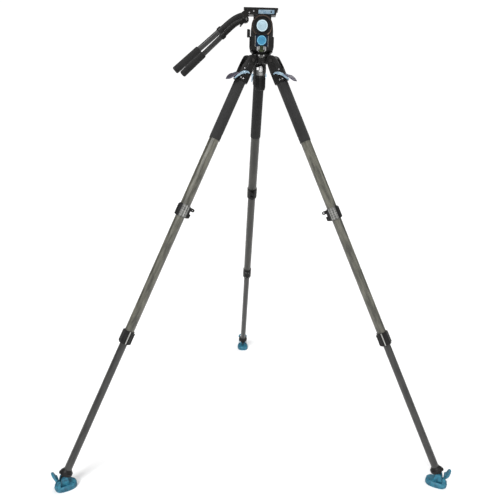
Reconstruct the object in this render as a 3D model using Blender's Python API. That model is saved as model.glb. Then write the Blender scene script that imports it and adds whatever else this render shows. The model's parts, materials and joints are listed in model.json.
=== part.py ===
"""Video camera tripod: two-stage carbon legs, a half-ball bowl and a fluid pan-and-tilt head.

Run it with: blender --background --python part.py
Units are metres, +Z is up, the floor is Z = 0 and the head looks along +X.
The operator's two pan handles point back along -X, and the drag dials face -Y.
The row origin is the middle of the footprint's bounding box, so the tripod's
own axis stands a little way from it.
"""

import math

import bpy
import bmesh
from mathutils import Matrix, Vector

# ---------------------------------------------------------------- driving sizes

GAP = 0.0003                     # between pieces that touch on the real object
RUNNING_GAP = 0.0004             # between pieces that slide or turn on each other

# stance
LEG_SPLAY = math.radians(26.76)  # leg axis from the vertical
LEG_YAW = math.radians(3.6)      # legs turned about the axis from the head's frame
LEG_AZIMUTH = {"front_left": 210.0, "front_right": 330.0, "rear": 90.0}
LEG_LENGTH = 1.7534              # hip hinge to ankle pivot, both stages out
HIP_CLEARANCE = 0.0165           # hip hinge outside the half ball
ANKLE_HEIGHT = 0.040             # ankle pivot above the floor

# leg tubes, down the leg from the hip hinge
UPPER_TUBE_TOP = 0.056
UPPER_TUBE_END = 0.6585
UPPER_TUBE_RADIUS = 0.0200
TUBE_WALL = 0.0014
TUBE_GAP = 0.0004                # middle tube in the upper tube
STAGE_OVERLAP = 0.112            # length of a tube that stays inside the one above it
MIDDLE_TUBE_END = 1.1865
LOWER_TUBE_RADIUS = 0.0146
SLEEVE_WALL = 0.0017
SLEEVE_END = 0.3346
CLAMP_LENGTH = 0.049
CLAMP_WALL = 0.0030
LOCK_LENGTH = 0.0525
LOCK_WALL = 0.0027
LOCK_LIP = 0.0033

# hip casting
HIP_SIDE_WALL = 0.0045           # round the upper tube
HIP_TOP_RADIUS = 0.0200          # round the hinge
HIP_WAIST_WALL = 0.0065          # at its thickest
HIP_SHOULDER = 0.046             # where the full depth begins
HIP_CHAMFER = 0.066              # where it starts to narrow to the sleeve
HIP_LENGTH = 0.089
HIP_FOOT_WALL = 0.0036           # at its lower end
HIP_SLOT_DEPTH = 0.042           # the fork over the crown's lug
HIP_CORNER = 0.017
LUG_HALF_WIDTH = 0.0128
LUG_RADIUS = 0.0185
HIP_PIN_RADIUS = 0.0050
PIN_HEAD_RADIUS = 0.0068
PIN_HEAD = 0.0016

# release lever on the hip
LEVER_PIVOT = (0.012, -0.058)    # across and along the leg, in the hip's frame
LEVER_ARM = 0.0040               # arm thickness
LEVER_DEPTH = 0.0090             # arm height
LEVER_INNER = (-0.0095, -0.0500)
LEVER_ELBOW = (0.0300, -0.0770)
LEVER_TIP = (0.0520, -0.1085)
LEVER_TIP_HALF_WIDTH = 0.0135
LEVER_PLATE = 0.0046
LEVER_PIN_RADIUS = 0.0030
LEVER_BOSS_RADIUS = 0.0060
LEVER_BOSS = 0.0018
LEVER_PIN_REACH = 0.0050

# mid-level spreader clamp
EYE_REACH = 0.0457               # eye's end from the tube's axis
EYE_HALF_HEIGHT = 0.0068
EYE_HALF_WIDTH = 0.0050
EYE_HOLE_RADIUS = 0.0036
EYE_RISE = 0.0150                # above the clamp's middle
THUMB_RADIUS = 0.0065
THUMB_REACH = 0.0360
THUMB_DROP = 0.0092              # below the clamp's middle

# ankle and foot
ANKLE_FLANGE_RADIUS = 0.0240
ANKLE_FLANGE = 0.0150
ANKLE_DROP = 0.0155              # flange's lower face to the pivot
ANKLE_TONGUE = 0.0078            # half thickness
ANKLE_TONGUE_RADIUS = 0.0105
ANKLE_PIN_RADIUS = 0.0040
FOOT_HALF_LENGTH = 0.0400        # along the leg's heading
FOOT_HALF_WIDTH = 0.0300
FOOT_THICKNESS = 0.0200
FOOT_OFFSET = -0.0060            # pad's middle from the ankle pivot
FOOT_EDGE = 0.0050               # chamfer round the pad's top
CHEEK_THICKNESS = 0.0070
CHEEK_RADIUS = 0.0125
LATCH_OFFSET = 0.0235            # latch hinge from the ankle pivot, outwards
LATCH_RISE = 0.0220              # latch hinge above the pad's top
LATCH_LUG_RADIUS = 0.0055
LATCH_LUG = 0.0045
LATCH_BARREL_RADIUS = 0.0042
LATCH_BARREL = 0.0190            # half width
LATCH_PIN_RADIUS = 0.0020
LATCH_ANGLE = math.radians(72.0)
LATCH_LENGTH = 0.0640
LATCH_HALF_WIDTH = 0.0320
LATCH_NECK = 0.0160
LATCH_BAR = 0.0120
LATCH_PLATE = 0.0070
LATCH_WIDEST = 0.62              # where the loop is widest, as a share of its length
LATCH_END_WIDTH = 0.65           # its end's width, as a share of that

# bowl and crown
BALL_RADIUS = 0.0375             # 75 mm half ball
BALL_GAP = 0.0008
BOWL_WALL = 0.0027
BALL_SINK = 0.0100               # how much less than its radius it stands above the hip hinges
BOWL_RIM_DROP = 0.0060           # rim below the ball's centre
BOWL_RIM = 0.0060
STUD_RADIUS = 0.0060
STUD_HOLE_RADIUS = 0.0150
STUD_NUT_RADIUS = 0.0085
STUD_NUT_GAP = 0.0200            # below the ball
STUD_WASHER_RADIUS = 0.0105
STUD_WASHER = 0.0120
STUD_SHANK = 0.0260              # length inside the handle
BALL_FLAT = 0.0045               # cut off the ball's bottom
HANDLE_GAP = 0.0445              # tie-down handle's top below the ball
HANDLE_LENGTH = 0.0540
HANDLE_RADIUS = 0.0220
HANDLE_LOBES = 6
HANDLE_SCALLOP = 0.0022
HANDLE_BORE_RADIUS = STUD_RADIUS + RUNNING_GAP

# fluid head, heights from the ball's centre
BASE_BOTTOM = -0.0020
BASE_TOP = 0.0100
BASE_INSET = 0.0015              # the base's foot inside the ball's radius
BASE_FLARE = 0.0065              # the base's rim outside it
BODY_BOTTOM = BASE_TOP + RUNNING_GAP
BODY_OVER_DIAL = 0.0145          # housing's top above the pan dial's middle
BODY_FLARE_X = 0.0030            # housing outside the base's rim, along X
BODY_FLARE_Y = 0.0020            # and along Y
BODY_CORNER = 0.0150
CHEEK_PLATE = 0.0125             # yoke cheek thickness
CHEEK_RIM = 0.0070               # cheek's round top outside the drum
CHEEK_HALF_WIDTH = 0.0425
CHEEK_WAIST = 0.0180             # where the cheek starts to round, below the axis
DRUM_GAP = 0.0005
DRUM_RADIUS = 0.0335
DRUM_CLEARANCE = 0.0035          # drum over the housing
SADDLE_HALF_LENGTH = 0.0340
RING_INSET = 0.0022              # ring inside the cheek's round top
RING_WIDTH = 0.0050
RING_PROUD = 0.0040
RECESS_HALF_WIDTH = 0.0235
RECESS_MARGIN = 0.0030           # round the pan dial, above and below
RECESS_DEPTH = 0.0050
TILT_DIAL_RADIUS = 0.0225
TILT_DIAL = 0.0100
PAN_DIAL_RADIUS = 0.0180
PAN_DIAL = 0.0110
PAN_DIAL_GAP = 0.0015            # over the level
BALANCE_RADIUS = 0.0152
BALANCE_LENGTH = 0.0095
BALANCE_DROP = 0.0230            # below the tilt axis
BALANCE_Y = -0.0120
BALANCE_RIBS = 12
BALANCE_GROOVE = 0.0012
LEVEL_RADIUS = 0.0110
LEVEL_HEIGHT = 0.0135
LEVEL_PROUD = 0.0045
LOCK_HUB_RADIUS = 0.0110
LOCK_HUB = 0.0100
LOCK_PEG_RADIUS = 0.0035
LOCK_PEG_LENGTH = 0.0400
PAN_LOCK_HEIGHT = 0.0300
PAN_LOCK_X = -0.0200
TILT_LOCK_ANGLE = math.radians(-50.0)
PAN_LOCK_ANGLE = math.radians(-15.0)

# plate receiver, heights above the tilt axis
RECEIVER_CLEARANCE = 0.0092      # over the drum
RECEIVER_HEIGHT = 0.0167
RECEIVER_REAR = -0.0620
RECEIVER_FRONT = 0.0550
RECEIVER_NOSE = 0.0040           # how far its front end leans back
RECEIVER_HALF_WIDTH = 0.0260
RAIL_HALF_WIDTH = 0.0170
RAIL_HEIGHT = 0.0050
PLATE_REAR = -0.0720
PLATE_FRONT = 0.0590
PLATE_HALF_WIDTH = 0.0280
PLATE_THICKNESS = 0.0078
PLATE_CORNER = 0.0050
PAD_HEIGHT = 0.0010
PAD_REAR = -0.0500
PAD_FRONT = 0.0460
PAD_HALF_WIDTH = 0.0230
PAD_SLOT_HALF_WIDTH = 0.0110
PAD_BRIDGE = 0.0140
SCREW_RADIUS = 0.0031
SCREW_HEAD_RADIUS = 0.0080
SCREW_HEAD = 0.0034
SCREW_PROUD = 0.0048             # above the plate's pad
SCREW_X = -0.0010
CLAMP_LEVER_REAR = -0.0160
CLAMP_LEVER_FRONT = 0.0450
CLAMP_LEVER_PIN_RADIUS = 0.0012
CLAMP_LEVER_HEIGHT = 0.0138
CLAMP_LEVER = 0.0056
CLAMP_LEVER_HOLE = 0.0030
CLAMP_LEVER_HOLE_X = 0.0330

# pan handles
HANDLE_HUB_X = -0.0660
HANDLE_HUB_DROP = 0.0068         # hub's middle below the receiver's underside
HANDLE_HUB_Y = 0.0545
HUB_RADIUS = 0.0130
HUB_HALF_WIDTH = 0.0105
CROSSBAR_RADIUS = 0.0095
ROSETTE_RADIUS = 0.0135
ROSETTE = 0.0040
HANDLE_SPLAY = math.radians(11.0)
HANDLE_DROOP = math.radians(41.6)
ARM_START_DROOP = math.radians(8.0)
ARM_RADIUS = 0.0102
ARM_REACH = 0.0620               # hub to the end of the bend, level
ARM_FALL = 0.0330                # and how far that is below the hub
ARM_STRAIGHT = 0.0400            # straight part after the bend
BAR_RADIUS = 0.0100
BAR_TAIL_RADIUS = 0.0062         # the part of the bar that slides inside the arm
BAR_TAIL = 0.0370
BAR_LENGTH = 0.1200
COLLAR_RADIUS = 0.0135
COLLAR_LENGTH = 0.0190
GRIP_RADIUS = 0.0138
GRIP_LENGTH = 0.1220
GRIP_CAP = 0.0030
CLAMP_PEG_HUB_RADIUS = 0.0070
CLAMP_PEG_HUB = 0.0080
CLAMP_LUG_Y = -0.0300            # outer face of the lug that carries it
CLAMP_LUG = 0.0060               # lug's half width
CLAMP_PEG_OFFSET = (-0.0020, -0.0190)
CLAMP_PEG_LENGTH = 0.0200
CLAMP_PEG_RADIUS = 0.0030
CLAMP_PEG_ANGLE = math.radians(214.0)

# facets
TUBE_SIDES = 24
SMALL_SIDES = 12
ROUND_SIDES = 32
ARC_STEPS = 6

# ---------------------------------------------------------------- derived places

MIDDLE_TUBE_RADIUS = UPPER_TUBE_RADIUS - TUBE_WALL - TUBE_GAP
MIDDLE_TUBE_TOP = UPPER_TUBE_END - STAGE_OVERLAP
LOWER_TUBE_TOP = MIDDLE_TUBE_END - STAGE_OVERLAP
ANKLE_FACE = LEG_LENGTH - ANKLE_DROP
LOWER_TUBE_END = ANKLE_FACE - 0.25 * ANKLE_FLANGE
SLEEVE_TOP = HIP_LENGTH + GAP
CLAMP_MIDDLE = UPPER_TUBE_END + GAP - CLAMP_LENGTH / 2
LOCK_END = MIDDLE_TUBE_END + GAP + LOCK_LIP
HIP_RADIUS = BALL_RADIUS + HIP_CLEARANCE
HIP_HALF_WIDTH = UPPER_TUBE_RADIUS + HIP_SIDE_WALL
HIP_WAIST_DEPTH = UPPER_TUBE_RADIUS + HIP_WAIST_WALL
HIP_FOOT_DEPTH = UPPER_TUBE_RADIUS + HIP_FOOT_WALL
BALL_HEIGHT = BALL_RADIUS - BALL_SINK
BALL_CUT = BALL_RADIUS - BALL_FLAT
STUD_NUT_DROP = BALL_RADIUS + STUD_NUT_GAP
HANDLE_TOP_DROP = BALL_RADIUS + HANDLE_GAP
BASE_FOOT_RADIUS = BALL_RADIUS - BASE_INSET
BASE_RADIUS = BALL_RADIUS + BASE_FLARE
PAN_DIAL_HEIGHT = LEVEL_HEIGHT + LEVEL_RADIUS + PAN_DIAL_GAP + PAN_DIAL_RADIUS
BODY_TOP = PAN_DIAL_HEIGHT + BODY_OVER_DIAL
TILT_AXIS = BODY_TOP + DRUM_CLEARANCE + DRUM_RADIUS
BODY_HALF_WIDTH = BASE_RADIUS + BODY_FLARE_X
BODY_HALF_DEPTH = BASE_RADIUS + BODY_FLARE_Y
CHEEK_TOP_RADIUS = DRUM_RADIUS + CHEEK_RIM
RING_RADIUS = CHEEK_TOP_RADIUS - RING_INSET
RECEIVER_BOTTOM = DRUM_RADIUS + RECEIVER_CLEARANCE
RECEIVER_TOP = RECEIVER_BOTTOM + RECEIVER_HEIGHT
HANDLE_HUB = (HANDLE_HUB_X, RECEIVER_BOTTOM - HANDLE_HUB_DROP)
BALANCE_HEIGHT = TILT_AXIS - BALANCE_DROP
HIP_HEIGHT = ANKLE_HEIGHT + LEG_LENGTH * math.cos(LEG_SPLAY)
FOOT_RADIUS = HIP_RADIUS + LEG_LENGTH * math.sin(LEG_SPLAY)
BALL_Z = HIP_HEIGHT + BALL_HEIGHT
SADDLE_TOP = RECEIVER_BOTTOM - GAP
CLAMP_LEVER_PIVOT = CLAMP_LEVER_REAR + CLAMP_LEVER / 2
CLAMP_LEVER_Y = -RECEIVER_HALF_WIDTH - RUNNING_GAP - CLAMP_LEVER / 2
CLAMP_LEVER_TOP = RECEIVER_TOP - RUNNING_GAP


def leg_heading(leg):
    """The compass direction of a leg, from +X towards +Y."""
    return math.radians(LEG_AZIMUTH[leg]) + LEG_YAW


def tripod_axis():
    """The tripod's own axis, when the bounding box of the feet's loops is centred on the origin."""
    xs = []
    ys = []
    for leg in LEG_AZIMUTH:
        c = math.cos(leg_heading(leg))
        s = math.sin(leg_heading(leg))
        for along, aside in ((1.0, LATCH_END_WIDTH), (LATCH_WIDEST, 1.0)):
            reach = FOOT_RADIUS + LATCH_OFFSET + along * LATCH_LENGTH * math.cos(LATCH_ANGLE)
            for half in (-aside * LATCH_HALF_WIDTH, aside * LATCH_HALF_WIDTH):
                xs.append(reach * c + half * s)
                ys.append(reach * s - half * c)
    return Vector((-(min(xs) + max(xs)) / 2, -(min(ys) + max(ys)) / 2, 0.0))


# ---------------------------------------------------------------- materials

FINISHES = {
    "black_metal": ((0.030, 0.029, 0.028), 0.42, 0.6),
    "satin_aluminium": ((0.62, 0.62, 0.63), 0.30, 1.0),
    "blue_anodised": ((0.42, 0.66, 0.78), 0.28, 0.8),
    "carbon_tube": ((0.085, 0.083, 0.070), 0.30, 0.1),
    "grip_foam": ((0.045, 0.045, 0.045), 0.85, 0.0),
    "black_plastic": ((0.025, 0.025, 0.027), 0.50, 0.0),
    "foot_rubber": ((0.035, 0.270, 0.370), 0.60, 0.0),
    "pale_dial": ((0.52, 0.70, 0.78), 0.35, 0.2),
    "blue_dial": ((0.12, 0.40, 0.62), 0.35, 0.2),
    "vial_glass": ((0.70, 0.80, 0.55), 0.10, 0.0),
}


def finish(name):
    """A Principled material by name, made the first time it is asked for."""
    found = bpy.data.materials.get(name)
    if found:
        return found
    colour, roughness, metallic = FINISHES[name]
    material = bpy.data.materials.new(name)
    material.use_nodes = True
    shader = material.node_tree.nodes["Principled BSDF"]
    shader.inputs["Base Color"].default_value = (*colour, 1.0)
    shader.inputs["Roughness"].default_value = roughness
    shader.inputs["Metallic"].default_value = metallic
    material.diffuse_color = (*colour, 1.0)
    return material


# ---------------------------------------------------------------- mesh helpers


def frame(name, parent=None, location=(0.0, 0.0, 0.0), rotation=(0.0, 0.0, 0.0)):
    """An empty that holds a local frame, such as a joint's."""
    empty = bpy.data.objects.new(name, None)
    bpy.context.scene.collection.objects.link(empty)
    empty.parent = parent
    empty.location = location
    empty.rotation_euler = rotation
    return empty


def solid(bm, name="solid"):
    """An object from a bmesh, with its normals pointing out."""
    bmesh.ops.remove_doubles(bm, verts=bm.verts, dist=1e-6)
    bmesh.ops.recalc_face_normals(bm, faces=bm.faces)
    mesh = bpy.data.meshes.new(name)
    bm.to_mesh(mesh)
    bm.free()
    made = bpy.data.objects.new(name, mesh)
    bpy.context.scene.collection.objects.link(made)
    return made


def turned(profile, sides=TUBE_SIDES):
    """A solid of revolution about Z from (radius, height) points, closed on itself or on the axis."""
    bm = bmesh.new()
    points = [bm.verts.new((radius, 0.0, height)) for radius, height in profile]
    edges = [bm.edges.new(pair) for pair in zip(points, points[1:])]
    if profile[0][0] > 0.0:
        edges.append(bm.edges.new((points[-1], points[0])))
    bmesh.ops.spin(
        bm, geom=points + edges, cent=(0, 0, 0), axis=(0, 0, 1), angle=math.tau, steps=sides, use_merge=True
    )
    return solid(bm)


def prism(outline, low, high):
    """An outline in XY drawn up from Z = low to Z = high."""
    bm = bmesh.new()
    face = bm.faces.new([bm.verts.new((x, y, low)) for x, y in outline])
    grown = bmesh.ops.extrude_face_region(bm, geom=[face])
    moved = [item for item in grown["geom"] if isinstance(item, bmesh.types.BMVert)]
    bmesh.ops.translate(bm, verts=moved, vec=(0.0, 0.0, high - low))
    return solid(bm)


def lofted(sections):
    """A solid through (outline, height) sections, whose outlines have the same number of points."""
    bm = bmesh.new()
    rings = [[bm.verts.new((x, y, height)) for x, y in outline] for outline, height in sections]
    count = len(rings[0])
    for one, two in zip(rings, rings[1:]):
        for i in range(count):
            j = (i + 1) % count
            bm.faces.new((one[i], one[j], two[j], two[i]))
    bm.faces.new(rings[0])
    bm.faces.new(rings[-1])
    return solid(bm)


def circle(radius, sides=TUBE_SIDES, centre=(0.0, 0.0)):
    """Points round a circle."""
    steps = [math.tau * i / sides for i in range(sides)]
    return [(centre[0] + radius * math.cos(a), centre[1] + radius * math.sin(a)) for a in steps]


def arc(centre, radius, start, end, steps=ARC_STEPS):
    """Points along an arc, with angles in degrees."""
    angles = [math.radians(start + (end - start) * i / steps) for i in range(steps + 1)]
    return [(centre[0] + radius * math.cos(a), centre[1] + radius * math.sin(a)) for a in angles]


def rounded_box(x0, x1, y0, y1, corner, steps=3):
    """A rectangle's outline with rounded corners."""
    points = []
    for x, y, start in (
        (x1 - corner, y1 - corner, 0),
        (x0 + corner, y1 - corner, 90),
        (x0 + corner, y0 + corner, 180),
        (x1 - corner, y0 + corner, 270),
    ):
        points += arc((x, y), corner, start, start + 90, steps)
    return points


def oval(half_length, half_width, sides=TUBE_SIDES, power=2.6, centre=(0.0, 0.0)):
    """A squared-off oval, longer along Y."""
    points = []
    for i in range(sides):
        c = math.cos(math.tau * i / sides)
        s = math.sin(math.tau * i / sides)
        x = half_width * math.copysign(abs(c) ** (2 / power), c)
        y = half_length * math.copysign(abs(s) ** (2 / power), s)
        points.append((centre[0] + x, centre[1] + y))
    return points


def box(x0, x1, y0, y1, z0, z1):
    """A plain block."""
    return prism([(x0, y0), (x1, y0), (x1, y1), (x0, y1)], z0, z1)


def rod(radius, low, high, sides=SMALL_SIDES):
    """A cylinder along Z."""
    return prism(circle(radius, sides), low, high)


def moved(piece, matrix):
    """Bakes a placement into a piece's mesh."""
    piece.data.transform(matrix)
    if matrix.determinant() < 0.0:
        piece.data.flip_normals()
    return piece


def shifted(piece, x=0.0, y=0.0, z=0.0):
    """Bakes a shift into a piece's mesh."""
    return moved(piece, Matrix.Translation((x, y, z)))


def along_x(piece):
    """Turns a piece made along Z to lie along X, and its XY outline to YZ."""
    return moved(piece, Matrix(((0, 0, 1, 0), (1, 0, 0, 0), (0, 1, 0, 0), (0, 0, 0, 1))))


def along_y(piece):
    """Turns a piece made along Z to lie along Y, and its XY outline to XZ."""
    return moved(piece, Matrix(((1, 0, 0, 0), (0, 0, -1, 0), (0, 1, 0, 0), (0, 0, 0, 1))))


def combine(target, tool, operation):
    """Applies one exact Boolean and discards the tool."""
    change = target.modifiers.new("combine", "BOOLEAN")
    change.operation = operation
    change.solver = "EXACT"
    change.object = tool
    graph = bpy.context.evaluated_depsgraph_get()
    result = bpy.data.meshes.new_from_object(target.evaluated_get(graph))
    target.modifiers.clear()
    target.data = result
    bpy.data.objects.remove(tool)
    return target


def join(target, *tools):
    """Unions pieces into the first."""
    for tool in tools:
        combine(target, tool, "UNION")
    return target


def cut(target, *tools):
    """Cuts pieces out of the first."""
    for tool in tools:
        combine(target, tool, "DIFFERENCE")
    return target


def node(piece, name, material, parent=None, location=(0.0, 0.0, 0.0), rotation=(0.0, 0.0, 0.0)):
    """Names a finished piece, gives it its material and puts it in its frame."""
    piece.name = name
    piece.data.name = name
    piece.data.materials.clear()
    piece.data.materials.append(finish(material))
    piece.data.shade_smooth()
    piece.data.set_sharp_from_angle(angle=math.radians(32))
    piece.parent = parent
    piece.location = location
    piece.rotation_euler = rotation
    return piece


def tube(outer, inner, top, end, sides=TUBE_SIDES):
    """A tube along a leg, from top to end below the hinge."""
    return turned([(inner, -end), (outer, -end), (outer, -top), (inner, -top)], sides)


# ---------------------------------------------------------------- legs


def make_hip(leg, at):
    """The casting that forks over the crown's lug and holds the upper tube."""
    waist = HIP_WAIST_DEPTH + 0.1 * HIP_WAIST_WALL
    outline = arc((0.0, 0.0), HIP_TOP_RADIUS, 0, 180, 10)
    outline += [
        (-waist, -HIP_SHOULDER),
        (-waist, -HIP_CHAMFER),
        (-HIP_FOOT_DEPTH, -HIP_LENGTH),
        (HIP_FOOT_DEPTH, -HIP_LENGTH),
        (waist, -HIP_CHAMFER),
        (waist, -HIP_SHOULDER),
    ]
    hip = along_x(prism(outline, -2 * HIP_HALF_WIDTH, 2 * HIP_HALF_WIDTH))
    plan = rounded_box(-HIP_HALF_WIDTH, HIP_HALF_WIDTH, -HIP_WAIST_DEPTH, HIP_WAIST_DEPTH, HIP_CORNER, 4)
    combine(hip, prism(plan, -HIP_LENGTH - HIP_CORNER, HIP_TOP_RADIUS + HIP_CORNER), "INTERSECT")
    slot = LUG_HALF_WIDTH + RUNNING_GAP
    reach = 2 * HIP_WAIST_DEPTH
    socket = rod(UPPER_TUBE_RADIUS + GAP, -HIP_LENGTH - HIP_CORNER, GAP - UPPER_TUBE_TOP, TUBE_SIDES)
    hinge = along_x(rod(HIP_PIN_RADIUS + GAP, -reach, reach))
    pivot = along_x(rod(LEVER_PIN_RADIUS + GAP, -reach, reach))
    shifted(pivot, y=LEVER_PIVOT[0], z=LEVER_PIVOT[1])
    cut(hip, box(-slot, slot, -reach, reach, -HIP_SLOT_DEPTH, reach), socket, hinge, pivot)
    return node(hip, f"{leg}_hip", "black_metal", at)


def make_hip_pin(leg, at):
    """The headed pin through the hip's fork and the crown's lug."""
    half = HIP_HALF_WIDTH + GAP
    profile = [
        (0.0, -half - PIN_HEAD),
        (PIN_HEAD_RADIUS, -half - PIN_HEAD),
        (PIN_HEAD_RADIUS, -half),
        (HIP_PIN_RADIUS, -half),
        (HIP_PIN_RADIUS, half),
        (PIN_HEAD_RADIUS, half),
        (PIN_HEAD_RADIUS, half + PIN_HEAD),
        (0.0, half + PIN_HEAD),
    ]
    return node(along_x(turned(profile, SMALL_SIDES)), f"{leg}_hip_pin", "satin_aluminium", at)


def make_release_lever(leg, at):
    """The squeeze lever that frees both stages: two arms, a paddle and its stub pins."""
    inner = HIP_HALF_WIDTH + RUNNING_GAP
    outer = inner + LEVER_ARM
    half = LEVER_DEPTH / 2
    root = Vector(LEVER_INNER) - Vector(LEVER_PIVOT)
    elbow = Vector(LEVER_ELBOW) - Vector(LEVER_PIVOT)
    tip = Vector(LEVER_TIP) - Vector(LEVER_PIVOT)
    arm_outline = [
        (root.x, root.y + 0.6 * half),
        (root.x, root.y - 0.6 * half),
        (0.0, -half),
        (elbow.x, elbow.y - half),
        (elbow.x + half, elbow.y),
        (elbow.x, elbow.y + half),
        (0.0, half),
    ]
    lever = None
    for side in (-1, 1):
        low, high = sorted((side * inner, side * outer))
        arm = along_x(prism(arm_outline, low, high))
        low, high = sorted((side * (outer - GAP), side * (outer + LEVER_BOSS)))
        boss = along_x(rod(LEVER_BOSS_RADIUS, low, high))
        low, high = sorted((side * (outer - GAP), side * (inner - LEVER_PIN_REACH)))
        pin = along_x(rod(LEVER_PIN_RADIUS, low, high))
        join(arm, boss, pin)
        lever = join(lever, arm) if lever else arm
    heading = (tip - elbow).normalized()
    length = (tip - elbow).length
    paddle_outline = [
        (-outer, -half),
        (outer, -half),
        (outer, 0.15 * length),
        (LEVER_TIP_HALF_WIDTH, 0.75 * length),
        (0.6 * LEVER_TIP_HALF_WIDTH, length),
        (-0.6 * LEVER_TIP_HALF_WIDTH, length),
        (-LEVER_TIP_HALF_WIDTH, 0.75 * length),
        (-outer, 0.15 * length),
    ]
    paddle = prism(paddle_outline, -LEVER_PLATE / 2, LEVER_PLATE / 2)
    tilt = Matrix.Rotation(math.atan2(heading.y, heading.x), 4, "X")
    moved(paddle, Matrix.Translation((0.0, elbow.x + half, elbow.y)) @ tilt)
    join(lever, paddle)
    return node(lever, f"{leg}_release_lever", "blue_anodised", at)


def make_spreader_clamp(leg, at):
    """The clamp at the upper tube's end, with the eye that a mid-level spreader hooks into."""
    top = CLAMP_MIDDLE - CLAMP_LENGTH / 2
    end = CLAMP_MIDDLE + CLAMP_LENGTH / 2
    bore = UPPER_TUBE_RADIUS + GAP
    outer = bore + CLAMP_WALL
    clamp = tube(outer, bore, top, end)
    eye_z = -CLAMP_MIDDLE + EYE_RISE
    eye_y = -EYE_REACH + EYE_HALF_HEIGHT
    outline = [(-bore - 0.5 * CLAMP_WALL, eye_z + EYE_HALF_HEIGHT)]
    outline += arc((eye_y, eye_z), EYE_HALF_HEIGHT, 90, 270)
    outline += [(-bore - 0.5 * CLAMP_WALL, eye_z - EYE_HALF_HEIGHT)]
    eye = along_x(prism(outline, -EYE_HALF_WIDTH, EYE_HALF_WIDTH))
    cut(eye, shifted(along_x(rod(EYE_HOLE_RADIUS, -0.02, 0.02, 16)), y=eye_y, z=eye_z))
    thumb = along_y(rod(THUMB_RADIUS, bore + 0.5 * CLAMP_WALL, THUMB_REACH))
    shifted(thumb, z=-CLAMP_MIDDLE - THUMB_DROP)
    join(clamp, eye, thumb)
    return node(clamp, f"{leg}_spreader_clamp", "black_metal", at)


def make_lock_collar(leg, at):
    """The collar on the middle tube's end, with the lip that guides the lower tube."""
    bore = MIDDLE_TUBE_RADIUS + GAP
    outer = bore + LOCK_WALL
    lip = LOWER_TUBE_RADIUS + RUNNING_GAP
    top = LOCK_END - LOCK_LENGTH
    profile = [
        (bore, -top),
        (outer, -top),
        (outer, -LOCK_END),
        (lip, -LOCK_END),
        (lip, -MIDDLE_TUBE_END - GAP),
        (bore, -MIDDLE_TUBE_END - GAP),
    ]
    return node(turned(profile), f"{leg}_lock_collar", "black_plastic", at)


def make_ankle(leg, at):
    """The flange on the lower tube's end, with the tongue that carries the foot."""
    top = ANKLE_FACE - ANKLE_FLANGE
    bore = LOWER_TUBE_RADIUS + GAP
    edge = 0.2 * ANKLE_FLANGE
    profile = [
        (0.0, -ANKLE_FACE),
        (ANKLE_FLANGE_RADIUS - edge, -ANKLE_FACE),
        (ANKLE_FLANGE_RADIUS, -ANKLE_FACE + edge),
        (ANKLE_FLANGE_RADIUS, -top - edge),
        (ANKLE_FLANGE_RADIUS - edge, -top),
        (bore, -top),
        (bore, -LOWER_TUBE_END - GAP),
        (0.0, -LOWER_TUBE_END - GAP),
    ]
    ankle = turned(profile)
    outline = [(ANKLE_TONGUE_RADIUS, -ANKLE_FACE + edge), (-ANKLE_TONGUE_RADIUS, -ANKLE_FACE + edge)]
    outline += arc((0.0, -LEG_LENGTH), ANKLE_TONGUE_RADIUS, 180, 360, 8)
    tongue = along_x(prism(outline, -ANKLE_TONGUE, ANKLE_TONGUE))
    pivot = shifted(along_x(rod(ANKLE_PIN_RADIUS + GAP, -0.03, 0.03)), z=-LEG_LENGTH)
    join(ankle, tongue)
    cut(ankle, pivot)
    return node(ankle, f"{leg}_ankle", "black_plastic", at)


def make_foot(leg, at):
    """The rubber pad with the cheeks of the ankle joint and the lugs of the latch."""
    floor = -ANKLE_HEIGHT
    top = floor + FOOT_THICKNESS
    full = oval(FOOT_HALF_LENGTH, FOOT_HALF_WIDTH, centre=(0.0, FOOT_OFFSET))
    small = oval(FOOT_HALF_LENGTH - FOOT_EDGE, FOOT_HALF_WIDTH - FOOT_EDGE, centre=(0.0, FOOT_OFFSET))
    pad = lofted([(full, floor), (full, top - FOOT_EDGE), (small, top)])
    root = top - 1.5 * FOOT_EDGE
    inner = ANKLE_TONGUE + RUNNING_GAP
    outer = inner + CHEEK_THICKNESS
    cheek = arc((0.0, 0.0), CHEEK_RADIUS, 0, 180, 8)
    cheek += [(-1.5 * CHEEK_RADIUS, root), (1.5 * CHEEK_RADIUS, root)]
    join(pad, along_x(prism(cheek, inner, outer)), along_x(prism(cheek, -outer, -inner)))
    join(pad, along_x(rod(ANKLE_PIN_RADIUS, -inner - 0.5 * CHEEK_THICKNESS, inner + 0.5 * CHEEK_THICKNESS)))
    hinge_z = top + LATCH_RISE
    low = LATCH_BARREL + RUNNING_GAP
    lug = arc((LATCH_OFFSET, hinge_z), LATCH_LUG_RADIUS, 0, 180)
    lug += [(LATCH_OFFSET - LATCH_LUG_RADIUS, root), (LATCH_OFFSET + 0.5 * LATCH_LUG_RADIUS, root)]
    for side in (-1, 1):
        start, end = sorted((side * low, side * (low + LATCH_LUG)))
        ear = along_x(prism(lug, start, end))
        hole = along_x(rod(LATCH_PIN_RADIUS + GAP, -low - LATCH_LUG, low + LATCH_LUG, 8))
        cut(ear, shifted(hole, y=LATCH_OFFSET, z=hinge_z))
        join(pad, ear)
    return node(pad, f"{leg}_foot", "foot_rubber", at)


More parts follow.
